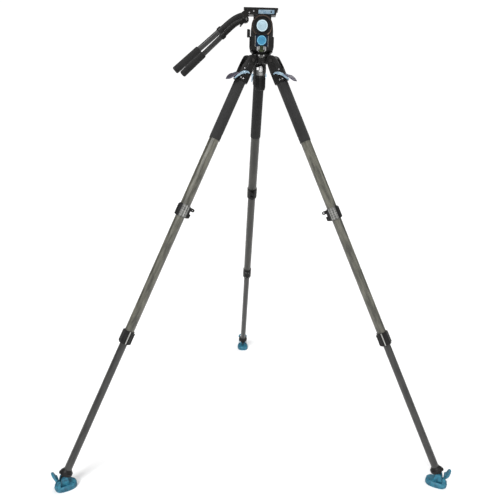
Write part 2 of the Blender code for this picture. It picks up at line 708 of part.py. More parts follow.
def make_latch(leg, at):
    """The rubber pull loop on the foot, with a finger hole."""
    wide = LATCH_WIDEST * LATCH_LENGTH
    start = 0.30 * LATCH_LENGTH
    outline = [
        (LATCH_NECK, 0.0),
        (LATCH_NECK, 0.10 * LATCH_LENGTH),
        (LATCH_HALF_WIDTH - 0.2 * LATCH_BAR, 0.5 * wide),
        (LATCH_HALF_WIDTH, wide),
        (0.80 * LATCH_HALF_WIDTH, 0.95 * LATCH_LENGTH),
        (LATCH_END_WIDTH * LATCH_HALF_WIDTH, LATCH_LENGTH),
    ]
    outline += [(-x, y) for x, y in reversed(outline)]
    hole = [
        (LATCH_NECK - 0.3 * LATCH_BAR, start),
        (LATCH_HALF_WIDTH - LATCH_BAR, wide),
        (LATCH_END_WIDTH * LATCH_HALF_WIDTH - 0.4 * LATCH_BAR, LATCH_LENGTH - LATCH_BAR),
    ]
    hole += [(-x, y) for x, y in reversed(hole)]
    latch = prism(outline, -LATCH_PLATE / 2, LATCH_PLATE / 2)
    cut(latch, prism(hole, -LATCH_PLATE, LATCH_PLATE))
    barrel = along_x(rod(LATCH_BARREL_RADIUS, -LATCH_BARREL, LATCH_BARREL))
    pin_reach = LATCH_BARREL + LATCH_LUG
    join(latch, barrel, along_x(rod(LATCH_PIN_RADIUS, -pin_reach, pin_reach, 8)))
    return node(latch, f"{leg}_foot_latch", "foot_rubber", at, rotation=(LATCH_ANGLE, 0.0, 0.0))


def make_leg(leg, axis):
    """One leg in its own frames: hinge, lever, tubes, ankle, foot and latch."""
    heading = leg_heading(leg)
    turn = heading - math.pi / 2
    outward = Vector((math.cos(heading), math.sin(heading), 0.0))
    hinge = outward * HIP_RADIUS + Vector((0.0, 0.0, HIP_HEIGHT))
    ankle = outward * FOOT_RADIUS + Vector((0.0, 0.0, ANKLE_HEIGHT))
    hip_frame = frame(f"{leg}_hip_frame", axis, hinge, (LEG_SPLAY, 0.0, turn))
    lever_frame = frame(f"{leg}_lever_frame", hip_frame, (0.0, *LEVER_PIVOT))
    foot_frame = frame(f"{leg}_foot_frame", axis, ankle, (0.0, 0.0, turn))
    latch_z = FOOT_THICKNESS - ANKLE_HEIGHT + LATCH_RISE
    latch_frame = frame(f"{leg}_latch_frame", foot_frame, (0.0, LATCH_OFFSET, latch_z))
    make_hip(leg, hip_frame)
    make_hip_pin(leg, hip_frame)
    make_release_lever(leg, lever_frame)
    sleeve_bore = UPPER_TUBE_RADIUS + GAP
    sleeve = tube(sleeve_bore + SLEEVE_WALL, sleeve_bore, SLEEVE_TOP, SLEEVE_END)
    node(sleeve, f"{leg}_grip_sleeve", "grip_foam", hip_frame)
    stages = (
        ("upper", UPPER_TUBE_RADIUS, UPPER_TUBE_TOP, UPPER_TUBE_END),
        ("middle", MIDDLE_TUBE_RADIUS, MIDDLE_TUBE_TOP, MIDDLE_TUBE_END),
        ("lower", LOWER_TUBE_RADIUS, LOWER_TUBE_TOP, LOWER_TUBE_END),
    )
    for stage, radius, top, end in stages:
        node(tube(radius, radius - TUBE_WALL, top, end), f"{leg}_{stage}_tube", "carbon_tube", hip_frame)
    make_spreader_clamp(leg, hip_frame)
    make_lock_collar(leg, hip_frame)
    make_ankle(leg, hip_frame)
    make_foot(leg, foot_frame)
    make_latch(leg, latch_frame)


# ---------------------------------------------------------------- crown and bowl


def make_crown(at):
    """The bowl for the half ball, with a forked lug for each leg; its frame is at the ball's centre."""
    shell = BALL_RADIUS + BALL_GAP + BOWL_WALL
    rim_z = -BOWL_RIM_DROP
    rim = math.sqrt(shell**2 - BOWL_RIM_DROP**2)
    steps = 8
    start = math.acos(min(1.0, STUD_HOLE_RADIUS / shell))
    profile = [(0.0, rim_z), (rim, rim_z), (rim, rim_z - BOWL_RIM)]
    first = math.asin((BOWL_RIM_DROP + BOWL_RIM) / shell)
    for i in range(1, steps + 1):
        a = first + (start - first) * i / steps
        profile.append((shell * math.cos(a), -shell * math.sin(a)))
    profile.append((0.0, -shell * math.sin(start)))
    crown = turned(profile, ROUND_SIDES)
    for leg in LEG_AZIMUTH:
        lug = arc((HIP_RADIUS, -BALL_HEIGHT), LUG_RADIUS, -90, 90, 8)
        lug += [(0.45 * HIP_RADIUS, LUG_RADIUS - BALL_HEIGHT), (0.35 * HIP_RADIUS, -BALL_HEIGHT - 0.4 * LUG_RADIUS)]
        arm = along_y(prism(lug, -LUG_HALF_WIDTH, LUG_HALF_WIDTH))
        hole = along_y(rod(HIP_PIN_RADIUS + GAP, -2 * LUG_HALF_WIDTH, 2 * LUG_HALF_WIDTH))
        cut(arm, shifted(hole, x=HIP_RADIUS, z=-BALL_HEIGHT))
        join(crown, moved(arm, Matrix.Rotation(leg_heading(leg), 4, "Z")))
    ball = BALL_RADIUS + BALL_GAP
    cavity = [(0.0, -ball)]
    cavity += [(ball * math.cos(a), ball * math.sin(a)) for a in (math.radians(-90 + 7.5 * i) for i in range(1, 13))]
    cavity += [(ball, ball), (0.0, ball)]
    cut(crown, turned(cavity, ROUND_SIDES), rod(STUD_HOLE_RADIUS, -2 * shell, 0.0, TUBE_SIDES))
    return node(crown, "crown", "black_metal", at)


def make_half_ball(at):
    """The half ball with the head's fixed base above it and the tie-down stud below."""
    steps = 8
    low = math.asin(BALL_CUT / BALL_RADIUS)
    high = math.asin(BASE_BOTTOM / BALL_RADIUS)
    nut = [(STUD_NUT_RADIUS * c, -STUD_NUT_DROP + STUD_NUT_RADIUS * s) for c, s in ((0.9, -0.6), (1.0, 0.0), (0.9, 0.6))]
    washer_low = -HANDLE_TOP_DROP + RUNNING_GAP
    stud_end = -HANDLE_TOP_DROP - STUD_SHANK
    profile = [
        (0.0, stud_end),
        (STUD_RADIUS, stud_end),
        (STUD_RADIUS, washer_low),
        (STUD_WASHER_RADIUS, washer_low),
        (STUD_WASHER_RADIUS, washer_low + STUD_WASHER),
        (STUD_RADIUS, washer_low + STUD_WASHER),
        *nut,
        (STUD_RADIUS, -STUD_NUT_DROP + STUD_NUT_RADIUS),
        (STUD_RADIUS, -BALL_CUT),
    ]
    for i in range(steps + 1):
        a = -low + (low + high) * i / steps
        profile.append((BALL_RADIUS * math.cos(a), BALL_RADIUS * math.sin(a)))
    profile += [
        (BASE_FOOT_RADIUS, BASE_BOTTOM),
        (BASE_RADIUS, 0.6 * BASE_TOP),
        (BASE_RADIUS, BASE_TOP),
        (0.0, BASE_TOP),
    ]
    return node(turned(profile, ROUND_SIDES), "half_ball", "black_metal", at)


def make_tie_down(at):
    """The lobed handle that pulls the ball down into the bowl."""
    outline = []
    sides = 4 * HANDLE_LOBES
    for i in range(sides):
        a = math.tau * i / sides
        radius = HANDLE_RADIUS - HANDLE_SCALLOP * 0.5 * (1 + math.cos(HANDLE_LOBES * a))
        outline.append((radius * math.cos(a), radius * math.sin(a)))
    small = [(0.86 * x, 0.86 * y) for x, y in outline]
    shoulder = 0.18 * HANDLE_LENGTH
    handle = lofted([
        (small, -HANDLE_LENGTH),
        (outline, -HANDLE_LENGTH + shoulder),
        (outline, -shoulder),
        (small, 0.0),
    ])
    cut(handle, rod(HANDLE_BORE_RADIUS, -STUD_SHANK - 2 * RUNNING_GAP, STUD_SHANK))
    return node(handle, "tie_down_handle", "black_plastic", at, location=(0.0, 0.0, -HANDLE_TOP_DROP))


# ---------------------------------------------------------------- fluid head


def make_head_body(at):
    """The pan housing with the two yoke cheeks that carry the tilt drum."""
    plan = rounded_box(-BODY_HALF_WIDTH, BODY_HALF_WIDTH, -BODY_HALF_DEPTH, BODY_HALF_DEPTH, BODY_CORNER, 4)
    foot = [(0.94 * x, 0.94 * y) for x, y in plan]
    body = lofted([(foot, BODY_BOTTOM), (plan, BODY_BOTTOM + 0.2 * BODY_TOP), (plan, BODY_TOP)])
    inner = BODY_HALF_DEPTH - CHEEK_PLATE
    outline = [(-CHEEK_HALF_WIDTH, BODY_TOP - 0.002), (CHEEK_HALF_WIDTH, BODY_TOP - 0.002)]
    outline += [(CHEEK_HALF_WIDTH, TILT_AXIS - CHEEK_WAIST)]
    outline += arc((0.0, TILT_AXIS), CHEEK_TOP_RADIUS, 0, 180, 14)
    outline += [(-CHEEK_HALF_WIDTH, TILT_AXIS - CHEEK_WAIST)]
    for low, high in ((inner, BODY_HALF_DEPTH), (-BODY_HALF_DEPTH, -inner)):
        join(body, along_y(prism(outline, low, high)))
    ring = [
        (RING_RADIUS - RING_WIDTH, -0.5 * CHEEK_PLATE),
        (RING_RADIUS, -0.5 * CHEEK_PLATE),
        (RING_RADIUS, RING_PROUD),
        (RING_RADIUS - RING_WIDTH, RING_PROUD),
    ]
    join(body, shifted(along_y(turned(ring, ROUND_SIDES)), y=-BODY_HALF_DEPTH, z=TILT_AXIS))
    face = BODY_HALF_DEPTH - RECESS_DEPTH
    reach = PAN_DIAL_RADIUS + RECESS_MARGIN
    low = PAN_DIAL_HEIGHT - reach
    cut(body, box(-RECESS_HALF_WIDTH, RECESS_HALF_WIDTH, -2 * BODY_HALF_DEPTH, -face, low, low + 2 * reach))
    return node(body, "head_body", "black_metal", at)


def make_tilt_drum(at):
    """The tilting drum between the cheeks, with the saddle that carries the receiver."""
    half = BODY_HALF_DEPTH - CHEEK_PLATE - DRUM_GAP
    drum = along_y(prism(circle(DRUM_RADIUS, ROUND_SIDES), -half, half))
    saddle = box(-SADDLE_HALF_LENGTH, SADDLE_HALF_LENGTH, -0.8 * half, 0.8 * half, 0.3 * DRUM_RADIUS, SADDLE_TOP)
    join(drum, saddle)
    return node(drum, "tilt_drum", "black_metal", at)


def make_dial(name, material, radius, length, at, location):
    """A round dial with a chamfered rim, facing -Y."""
    edge = 0.15 * length
    profile = [(0.0, 0.0), (radius, 0.0), (radius, length - edge), (radius - edge, length), (0.0, length)]
    return node(along_y(turned(profile, ROUND_SIDES)), name, material, at, location=location)


def make_balance_knob(at):
    """The ribbed counterbalance knob, facing -X."""
    outline = []
    for i in range(2 * BALANCE_RIBS):
        radius = BALANCE_RADIUS - (i % 2) * BALANCE_GROOVE
        a = math.tau * i / (2 * BALANCE_RIBS)
        outline.append((radius * math.cos(a), radius * math.sin(a)))
    knob = along_x(prism(outline, -BALANCE_LENGTH, 0.0))
    place = (-BODY_HALF_WIDTH - RUNNING_GAP, BALANCE_Y, BALANCE_HEIGHT)
    return node(knob, "counterbalance_knob", "black_plastic", at, location=place)


def make_lock_lever(name, at, location, angle):
    """A hub with a peg, turning about Y."""
    hub = along_y(rod(LOCK_HUB_RADIUS, -LOCK_HUB, 0.0, 16))
    peg = along_x(rod(LOCK_PEG_RADIUS, 0.5 * LOCK_HUB_RADIUS, LOCK_PEG_LENGTH))
    shifted(peg, y=0.5 * LOCK_HUB)
    moved(peg, Matrix.Rotation(-angle, 4, "Y"))
    join(hub, peg)
    return node(hub, name, "black_plastic", at, location=location)


def make_receiver(at):
    """The plate receiver with its channel, and the crossbar that carries the handles."""
    outline = [
        (RECEIVER_REAR, RECEIVER_BOTTOM),
        (RECEIVER_FRONT - RECEIVER_NOSE, RECEIVER_BOTTOM),
        (RECEIVER_FRONT, RECEIVER_TOP),
        (RECEIVER_REAR, RECEIVER_TOP),
    ]
    receiver = along_y(prism(outline, -RECEIVER_HALF_WIDTH, RECEIVER_HALF_WIDTH))
    floor = RECEIVER_TOP - RAIL_HEIGHT
    rail = RAIL_HALF_WIDTH + RUNNING_GAP
    cut(receiver, box(2 * RECEIVER_REAR, 2 * RECEIVER_FRONT, -rail, rail, floor, 2 * RECEIVER_TOP))
    hub_x, hub_z = HANDLE_HUB
    bar_half = HANDLE_HUB_Y - HUB_HALF_WIDTH - GAP
    neck = box(hub_x, RECEIVER_REAR + 0.004, -0.8 * RECEIVER_HALF_WIDTH, 0.8 * RECEIVER_HALF_WIDTH,
               RECEIVER_BOTTOM - 0.006, floor - 0.004)
    bar = shifted(along_y(rod(CROSSBAR_RADIUS, -bar_half, bar_half, 16)), x=hub_x, z=hub_z)
    lug_x = hub_x + CLAMP_PEG_OFFSET[0]
    lug_z = hub_z + CLAMP_PEG_OFFSET[1]
    lug = box(lug_x - CLAMP_LUG, lug_x + CLAMP_LUG, CLAMP_LUG_Y, CLAMP_LUG_Y + 2 * CLAMP_LUG, lug_z - CLAMP_LUG, hub_z)
    join(receiver, neck, bar, lug)
    for low, high in ((bar_half - ROSETTE, bar_half), (-bar_half, ROSETTE - bar_half)):
        join(receiver, shifted(along_y(rod(ROSETTE_RADIUS, low, high, 16)), x=hub_x, z=hub_z))
    top = CLAMP_LEVER_TOP - CLAMP_LEVER_HEIGHT - RUNNING_GAP
    boss = rod(CLAMP_LEVER / 2, RECEIVER_BOTTOM + GAP, top)
    web = box(-0.35 * CLAMP_LEVER, 0.35 * CLAMP_LEVER, 0.0, CLAMP_LEVER, RECEIVER_BOTTOM + 2 * GAP, top - GAP)
    pin = rod(CLAMP_LEVER_PIN_RADIUS, top - GAP, CLAMP_LEVER_TOP, 8)
    join(receiver, shifted(join(boss, web, pin), x=CLAMP_LEVER_PIVOT, y=CLAMP_LEVER_Y))
    return node(receiver, "plate_receiver", "black_metal", at)


def make_camera_plate(at):
    """The sliding camera plate with its rail, its raised pad and its screw hole."""
    bottom = RECEIVER_TOP + RUNNING_GAP
    top = bottom + PLATE_THICKNESS
    outline = rounded_box(PLATE_REAR, PLATE_FRONT, -PLATE_HALF_WIDTH, PLATE_HALF_WIDTH, PLATE_CORNER)
    plate = prism(outline, bottom, top)
    rail_low = RECEIVER_TOP - RAIL_HEIGHT + RUNNING_GAP
    rail = box(PLATE_REAR + PLATE_CORNER, PLATE_FRONT - PLATE_CORNER, -RAIL_HALF_WIDTH, RAIL_HALF_WIDTH,
               rail_low, bottom + 0.5 * PLATE_THICKNESS)
    slot = PAD_SLOT_HALF_WIDTH
    pad = prism(
        [
            (PAD_FRONT, PAD_HALF_WIDTH),
            (PAD_REAR, PAD_HALF_WIDTH),
            (PAD_REAR, -PAD_HALF_WIDTH),
            (PAD_FRONT, -PAD_HALF_WIDTH),
            (PAD_FRONT, -slot),
            (PAD_REAR + PAD_BRIDGE, -slot),
            (PAD_REAR + PAD_BRIDGE, slot),
            (PAD_FRONT, slot),
        ],
        top - PAD_HEIGHT,
        top + PAD_HEIGHT,
    )
    join(plate, rail, pad)
    head_room = shifted(rod(SCREW_HEAD_RADIUS + RUNNING_GAP, 0.0, bottom + SCREW_HEAD + RUNNING_GAP, 16), x=SCREW_X)
    cut(plate, head_room, shifted(rod(SCREW_RADIUS + RUNNING_GAP, 0.0, 2 * top), x=SCREW_X))
    return node(plate, "camera_plate", "black_metal", at)


def make_camera_screw(at):
    """The quarter-inch camera screw, captive in the plate."""
    bottom = RECEIVER_TOP + RUNNING_GAP
    tip = bottom + PLATE_THICKNESS + PAD_HEIGHT + SCREW_PROUD
    edge = 0.3 * SCREW_RADIUS
    profile = [
        (0.0, bottom),
        (SCREW_HEAD_RADIUS, bottom),
        (SCREW_HEAD_RADIUS, bottom + SCREW_HEAD),
        (SCREW_RADIUS, bottom + SCREW_HEAD),
        (SCREW_RADIUS, tip - edge),
        (SCREW_RADIUS - edge, tip),
        (0.0, tip),
    ]
    return node(turned(profile, 16), "camera_screw", "satin_aluminium", at, location=(SCREW_X, 0.0, 0.0))


def make_plate_clamp_lever(at):
    """The flat lever along the receiver's side that clamps the plate's rail."""
    top = CLAMP_LEVER_TOP
    half = CLAMP_LEVER / 2
    front = CLAMP_LEVER_FRONT - CLAMP_LEVER_PIVOT
    lever = prism(rounded_box(-half, front, -half, half, 0.45 * CLAMP_LEVER, 3), top - CLAMP_LEVER_HEIGHT, top)
    hole = shifted(along_y(rod(CLAMP_LEVER_HOLE, -CLAMP_LEVER, CLAMP_LEVER)),
                   x=CLAMP_LEVER_HOLE_X - CLAMP_LEVER_PIVOT, z=top - CLAMP_LEVER_HEIGHT / 2)
    pivot = rod(CLAMP_LEVER_PIN_RADIUS + RUNNING_GAP, 0.0, 2 * top)
    cut(lever, hole, pivot)
    return node(lever, "plate_clamp_lever", "blue_anodised", at, location=(CLAMP_LEVER_PIVOT, CLAMP_LEVER_Y, 0.0))


def make_handle_clamp_lever(at):
    """The short peg lever under the crossbar that clamps the handles' angle."""
    hub = along_y(rod(CLAMP_PEG_HUB_RADIUS, -CLAMP_PEG_HUB / 2, CLAMP_PEG_HUB / 2))
    peg = along_x(rod(CLAMP_PEG_RADIUS, 0.5 * CLAMP_PEG_HUB_RADIUS, CLAMP_PEG_LENGTH))
    moved(peg, Matrix.Rotation(-CLAMP_PEG_ANGLE, 4, "Y"))
    join(hub, peg)
    y = CLAMP_LUG_Y - RUNNING_GAP - CLAMP_PEG_HUB / 2
    place = (HANDLE_HUB[0] + CLAMP_PEG_OFFSET[0], y, HANDLE_HUB[1] + CLAMP_PEG_OFFSET[1])
    return node(hub, "handle_clamp_lever", "black_plastic", at, location=place)


# ---------------------------------------------------------------- pan handles


def handle_line(side):
    """The unit direction of a handle's straight part; side is -1 near the dials, 1 on the far side."""
    level = math.cos(HANDLE_DROOP)
    return Vector((-level * math.cos(HANDLE_SPLAY), side * level * math.sin(HANDLE_SPLAY), -math.sin(HANDLE_DROOP)))


def bend_points(side, steps=7):
    """Points from the hub round the bend to its end, along a quadratic curve."""
    out = Vector((-math.cos(HANDLE_SPLAY), side * math.sin(HANDLE_SPLAY), 0.0))
    down = Vector((0.0, 0.0, -1.0))
    end = out * ARM_REACH + down * ARM_FALL
    first = math.tan(ARM_START_DROOP)
    last = math.tan(HANDLE_DROOP)
    corner = (last * ARM_REACH - ARM_FALL) / (last - first)
    control = out * corner + down * (first * corner)
    points = []
    for i in range(steps + 1):
        t = i / steps
        points.append(control * (2 * t * (1 - t)) + end * t**2)
    return points


def swept(points, radius, sides=16):
    """A round bar along points, as a solid."""
    bm = bmesh.new()
    rings = []
    for i, point in enumerate(points):
        before = points[max(0, i - 1)]
        after = points[min(len(points) - 1, i + 1)]
        ahead = (after - before).normalized()
        across = ahead.cross(Vector((0.0, 0.0, 1.0))).normalized()
        up = across.cross(ahead)
        ring = []
        for k in range(sides):
            a = math.tau * k / sides
            ring.append(bm.verts.new(point + radius * (math.cos(a) * across + math.sin(a) * up)))
        rings.append(ring)
    for one, two in zip(rings, rings[1:]):
        for k in range(sides):
            j = (k + 1) % sides
            bm.faces.new((one[k], one[j], two[j], two[k]))
    bm.faces.new(rings[0])
    bm.faces.new(rings[-1])
    return solid(bm)


def make_handle(name, side, at):
    """One pan handle: curved arm with its hub, clamp collar, straight bar and grip."""
    line = handle_line(side)
    bend = bend_points(side)
    arm_end = bend[-1] + line * ARM_STRAIGHT
    arm = swept(bend[1:] + [arm_end], ARM_RADIUS)
    join(arm, along_y(rod(HUB_RADIUS, -HUB_HALF_WIDTH, HUB_HALF_WIDTH, TUBE_SIDES)))
    aim = line.to_track_quat("Z", "Y").to_matrix().to_4x4()
    joint = Matrix.Translation(arm_end) @ aim
    cut(arm, moved(rod(BAR_TAIL_RADIUS + RUNNING_GAP, -BAR_TAIL - RUNNING_GAP, COLLAR_LENGTH, 16), joint))
    node(arm, f"{name}_handle_arm", "black_metal", at)
    profile = [
        (0.0, -BAR_TAIL),
        (BAR_TAIL_RADIUS, -BAR_TAIL),
        (BAR_TAIL_RADIUS, GAP),
        (BAR_RADIUS, GAP),
        (BAR_RADIUS, BAR_LENGTH),
        (0.0, BAR_LENGTH),
    ]
    node(moved(turned(profile, 16), joint), f"{name}_handle_bar", "carbon_tube", at)
    bore = ARM_RADIUS + RUNNING_GAP
    edge = 0.15 * COLLAR_LENGTH
    half = COLLAR_LENGTH / 2
    profile = [
        (bore, -half),
        (COLLAR_RADIUS - edge, -half),
        (COLLAR_RADIUS, edge - half),
        (COLLAR_RADIUS, half - edge),
        (COLLAR_RADIUS - edge, half),
        (bore, half),
    ]
    node(moved(turned(profile, 20), joint), f"{name}_handle_collar", "black_plastic", at)
    start = BAR_LENGTH - GRIP_LENGTH / 8
    end = start + GRIP_LENGTH
    grip_bore = BAR_RADIUS + GAP
    profile = [
        (0.0, BAR_LENGTH + GAP),
        (grip_bore, BAR_LENGTH + GAP),
        (grip_bore, start),
        (GRIP_RADIUS - GRIP_CAP, start),
        (GRIP_RADIUS, start + GRIP_CAP),
        (GRIP_RADIUS, end - GRIP_CAP),
        (GRIP_RADIUS - GRIP_CAP, end),
        (0.0, end),
    ]
    node(moved(turned(profile, 20), joint), f"{name}_handle_grip", "grip_foam", at)


# ---------------------------------------------------------------- assembly


def build():
    """Clears the scene and makes the whole tripod."""
    for old in list(bpy.data.objects):
        bpy.data.objects.remove(old, do_unlink=True)
    axis = frame("tripod_axis", None, tripod_axis())
    for leg in LEG_AZIMUTH:
        make_leg(leg, axis)
    ball = frame("ball_centre", axis, (0.0, 0.0, BALL_Z))
    make_crown(ball)
    make_half_ball(ball)
    make_tie_down(ball)
    make_head_body(ball)
    tilt = frame("tilt_centre", ball, (0.0, 0.0, TILT_AXIS))
    make_tilt_drum(tilt)
    dial_y = -BODY_HALF_DEPTH - RUNNING_GAP
    make_dial("tilt_drag_dial", "pale_dial", TILT_DIAL_RADIUS, TILT_DIAL, ball, (0.0, dial_y, TILT_AXIS))
    pan_y = dial_y + RECESS_DEPTH
    make_dial("pan_drag_dial", "blue_dial", PAN_DIAL_RADIUS, PAN_DIAL, ball, (0.0, pan_y, PAN_DIAL_HEIGHT))
    make_balance_knob(ball)
    make_dial("bubble_level", "vial_glass", LEVEL_RADIUS, LEVEL_PROUD, ball,
              (0.0, -BODY_HALF_DEPTH - GAP, LEVEL_HEIGHT))
    lock_y = BODY_HALF_DEPTH + RUNNING_GAP
    make_lock_lever("tilt_lock_lever", ball, (0.0, lock_y, TILT_AXIS), TILT_LOCK_ANGLE)
    make_lock_lever("pan_lock_lever", ball, (PAN_LOCK_X, lock_y, PAN_LOCK_HEIGHT), PAN_LOCK_ANGLE)
    make_receiver(tilt)
    make_camera_plate(tilt)
    make_camera_screw(tilt)
    make_plate_clamp_lever(tilt)
    make_handle_clamp_lever(tilt)
    for name, side in (("near", -1), ("far", 1)):
        hub = frame(f"{name}_handle_hub", tilt, (HANDLE_HUB[0], side * HANDLE_HUB_Y, HANDLE_HUB[1]))
        make_handle(name, side, hub)
    bpy.context.view_layer.update()


build()
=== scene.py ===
"""The looks of the video tripod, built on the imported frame."""

import json
import math

import bmesh
import bpy
from mathutils import Matrix, Vector


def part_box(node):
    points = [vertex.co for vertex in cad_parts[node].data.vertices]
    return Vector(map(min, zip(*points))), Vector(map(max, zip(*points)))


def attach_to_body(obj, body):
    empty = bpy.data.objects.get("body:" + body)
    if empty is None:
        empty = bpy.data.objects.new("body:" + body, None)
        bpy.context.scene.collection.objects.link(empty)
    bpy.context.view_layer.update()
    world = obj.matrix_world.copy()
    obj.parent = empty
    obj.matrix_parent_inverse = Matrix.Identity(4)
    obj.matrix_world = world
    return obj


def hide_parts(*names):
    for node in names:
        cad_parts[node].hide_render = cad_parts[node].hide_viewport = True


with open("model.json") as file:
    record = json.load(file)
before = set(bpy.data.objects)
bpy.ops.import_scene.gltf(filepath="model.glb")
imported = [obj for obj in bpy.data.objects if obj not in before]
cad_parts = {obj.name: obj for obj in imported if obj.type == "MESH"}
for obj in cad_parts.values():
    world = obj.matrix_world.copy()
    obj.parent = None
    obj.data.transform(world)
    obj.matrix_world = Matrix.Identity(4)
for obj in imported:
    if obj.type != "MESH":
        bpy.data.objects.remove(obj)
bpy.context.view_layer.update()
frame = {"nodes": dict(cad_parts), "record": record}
NODES = frame["nodes"]
JOINTS = {joint["name"]: joint for joint in frame["record"]["behaviour"]["joints"]}
LEGS = ("front_left", "front_right", "rear")
AXIS = Vector(JOINTS["pan"]["pos_m"])
TILT = Vector(JOINTS["tilt"]["pos_m"])

# ---------------------------------------------------------------- materials


class Paint:
    """A Principled material and short calls for the nodes that feed it."""

    def __init__(self, name, colour, roughness, metallic=0.0, **sockets):
        self.material = bpy.data.materials.new(name)
        self.material.use_nodes = True
        self.nodes = self.material.node_tree.nodes
        self.links = self.material.node_tree.links
        self.shader = self.nodes["Principled BSDF"]
        self.set("Base Color", (*colour, 1.0))
        self.set("Roughness", roughness)
        self.set("Metallic", metallic)
        for key, value in sockets.items():
            self.set(key.replace("_", " "), value)
        self.material.diffuse_color = (*colour, 1.0)

    def set(self, key, value):
        """Sets or links one of the shader's sockets."""
        self.put(self.shader.inputs[key], value)

    def put(self, socket, value):
        """Links a socket, or gives it a number or a colour."""
        if isinstance(value, bpy.types.NodeSocket):
            self.links.new(value, socket)
        else:
            socket.default_value = value

    def add(self, kind, inputs=None, **settings):
        """A node with its settings and inputs."""
        made = self.nodes.new(kind)
        for key, value in settings.items():
            setattr(made, key, value)
        for key, value in (inputs or {}).items():
            self.put(made.inputs[key], value)
        return made

    def place(self, matrix=None):
        """Object coordinates, optionally in a local frame."""
        where = self.add("ShaderNodeTexCoord").outputs["Object"]
        if matrix is None:
            return where
        back = matrix.inverted()
        turn = {"Rotation": back.to_euler(), "Location": back.translation}
        return self.add("ShaderNodeMapping", {"Vector": where, **turn}).outputs[0]

    def split(self, vector):
        """The X, Y and Z of a vector."""
        return self.add("ShaderNodeSeparateXYZ", {"Vector": vector}).outputs

    def math(self, operation, a, b=0.0, c=0.0):
        """One sum."""
        return self.add("ShaderNodeMath", {0: a, 1: b, 2: c}, operation=operation).outputs[0]

    def noise(self, scale, detail=3.0, vector=None, roughness=0.55):
        """Fractal noise."""
        spot = vector or self.place()
        inputs = {"Vector": spot, "Scale": scale, "Detail": detail, "Roughness": roughness}
        return self.add("ShaderNodeTexNoise", inputs).outputs["Fac"]

    def scaled(self, value, low, high, start=0.0, end=1.0):
        """A value carried from one range to another, held inside it."""
        inputs = {"Value": value, "From Min": start, "From Max": end, "To Min": low, "To Max": high}
        return self.add("ShaderNodeMapRange", inputs).outputs[0]

    def mix(self, factor, one, two):
        """A blend of two colours."""
        made = self.add("ShaderNodeMix", data_type="RGBA")
        self.put(made.inputs[0], factor)
        self.put(made.inputs[6], one if isinstance(one, bpy.types.NodeSocket) else (*one, 1.0))
        self.put(made.inputs[7], two if isinstance(two, bpy.types.NodeSocket) else (*two, 1.0))
        return made.outputs[2]

    def bump(self, height, distance, strength=0.6, normal=None):
        """A bumped normal."""
        inputs = {"Height": height, "Distance": distance, "Strength": strength}
        if normal is not None:
            inputs["Normal"] = normal
        return self.add("ShaderNodeBump", inputs).outputs[0]

    def edges(self, radius):
        """How near a hard edge is, from 0 to 1."""
        soft = self.add("ShaderNodeBevel", {"Radius": radius}, samples=4).outputs[0]
        flat = self.add("ShaderNodeNewGeometry").outputs["Normal"]
        match = self.add("ShaderNodeVectorMath", {0: soft, 1: flat}, operation="DOT_PRODUCT")
        return self.scaled(match.outputs["Value"], 1.0, 0.0, 0.80, 0.99)


BLACK_BASE = (0.0042, 0.0040, 0.0040)
WORN_WIDTH = 0.0012               # how far from an edge paint is rubbed
GROOVE_PITCH = 0.0045             # of the flutes on a clamp's sides


def enamel(name, colour, worn, roughness=0.38, metallic=0.2, grain=900.0, depth=0.00012):
    """Painted or moulded black with a fine grain, faint patches and rubbed edges."""
    paint = Paint(name, colour, roughness, metallic, Specular_IOR_Level=0.22)
    patches = paint.noise(14.0, 4.0)
    rubbed = paint.scaled(paint.noise(160.0), 0.25, 1.0, 0.4, 0.6)
    edge = paint.math("MULTIPLY", paint.edges(WORN_WIDTH), rubbed)
    lighter = tuple(min(1.0, 1.5 * c + 0.004) for c in colour)
    base = paint.mix(paint.scaled(patches, 0.0, 1.0, 0.35, 0.65), colour, lighter)
    paint.set("Base Color", paint.mix(edge, base, worn))
    paint.set("Roughness", paint.scaled(paint.noise(60.0), roughness - 0.07, roughness + 0.09, 0.3, 0.7))
    paint.set("Normal", paint.bump(paint.noise(grain, 2.0), depth, 0.5))
    return paint.material


def flanked(name, matrix, radius, inner):
    """Moulded black whose two sides show worn grey metal round a tube's axis."""
    paint = Paint(name, BLACK_BASE, 0.44, 0.2, Specular_IOR_Level=0.25)
    x, y, z = paint.split(paint.place(matrix))
    aside = paint.scaled(paint.math("ABSOLUTE", x), 0.0, 1.0, 0.60 * radius, 0.72 * radius)
    ahead = paint.scaled(y, 0.0, 1.0, inner, inner + 0.0020)
    flutes = paint.math("PINGPONG", z, GROOVE_PITCH)
    grooved = paint.scaled(flutes, 0.25, 1.0, 0.0006, 0.0013)
    worn = paint.scaled(paint.noise(90.0, 4.0), 0.45, 1.0, 0.35, 0.60)
    flank = paint.math("MULTIPLY", aside, ahead)
    bare = paint.math("MULTIPLY", flank, paint.math("MULTIPLY", grooved, worn))
    paint.set("Base Color", paint.mix(bare, BLACK_BASE, (0.230, 0.230, 0.220)))
    paint.set("Metallic", paint.math("MULTIPLY", bare, 0.5))
    paint.set("Roughness", paint.scaled(paint.noise(60.0), 0.34, 0.50, 0.3, 0.7))
    paint.set("Normal", paint.bump(paint.noise(1400.0, 2.0), 0.00016, 0.5))
    return paint.material


def metal(name, colour, roughness=0.28, lines=(600.0, 30.0, 30.0)):
    """Brushed or turned metal."""
    paint = Paint(name, colour, roughness, 1.0)
    stretched = paint.add("ShaderNodeMapping", {"Vector": paint.place(), "Scale": lines}).outputs[0]
    streaks = paint.noise(2.0, 4.0, stretched)
    darker = tuple(0.72 * c for c in colour)
    paint.set("Base Color", paint.mix(paint.scaled(streaks, 0.0, 1.0, 0.3, 0.7), darker, colour))
    paint.set("Roughness", paint.scaled(streaks, roughness - 0.06, roughness + 0.12, 0.3, 0.7))
    paint.set("Normal", paint.bump(streaks, 0.00008, 0.3))
    return paint.material


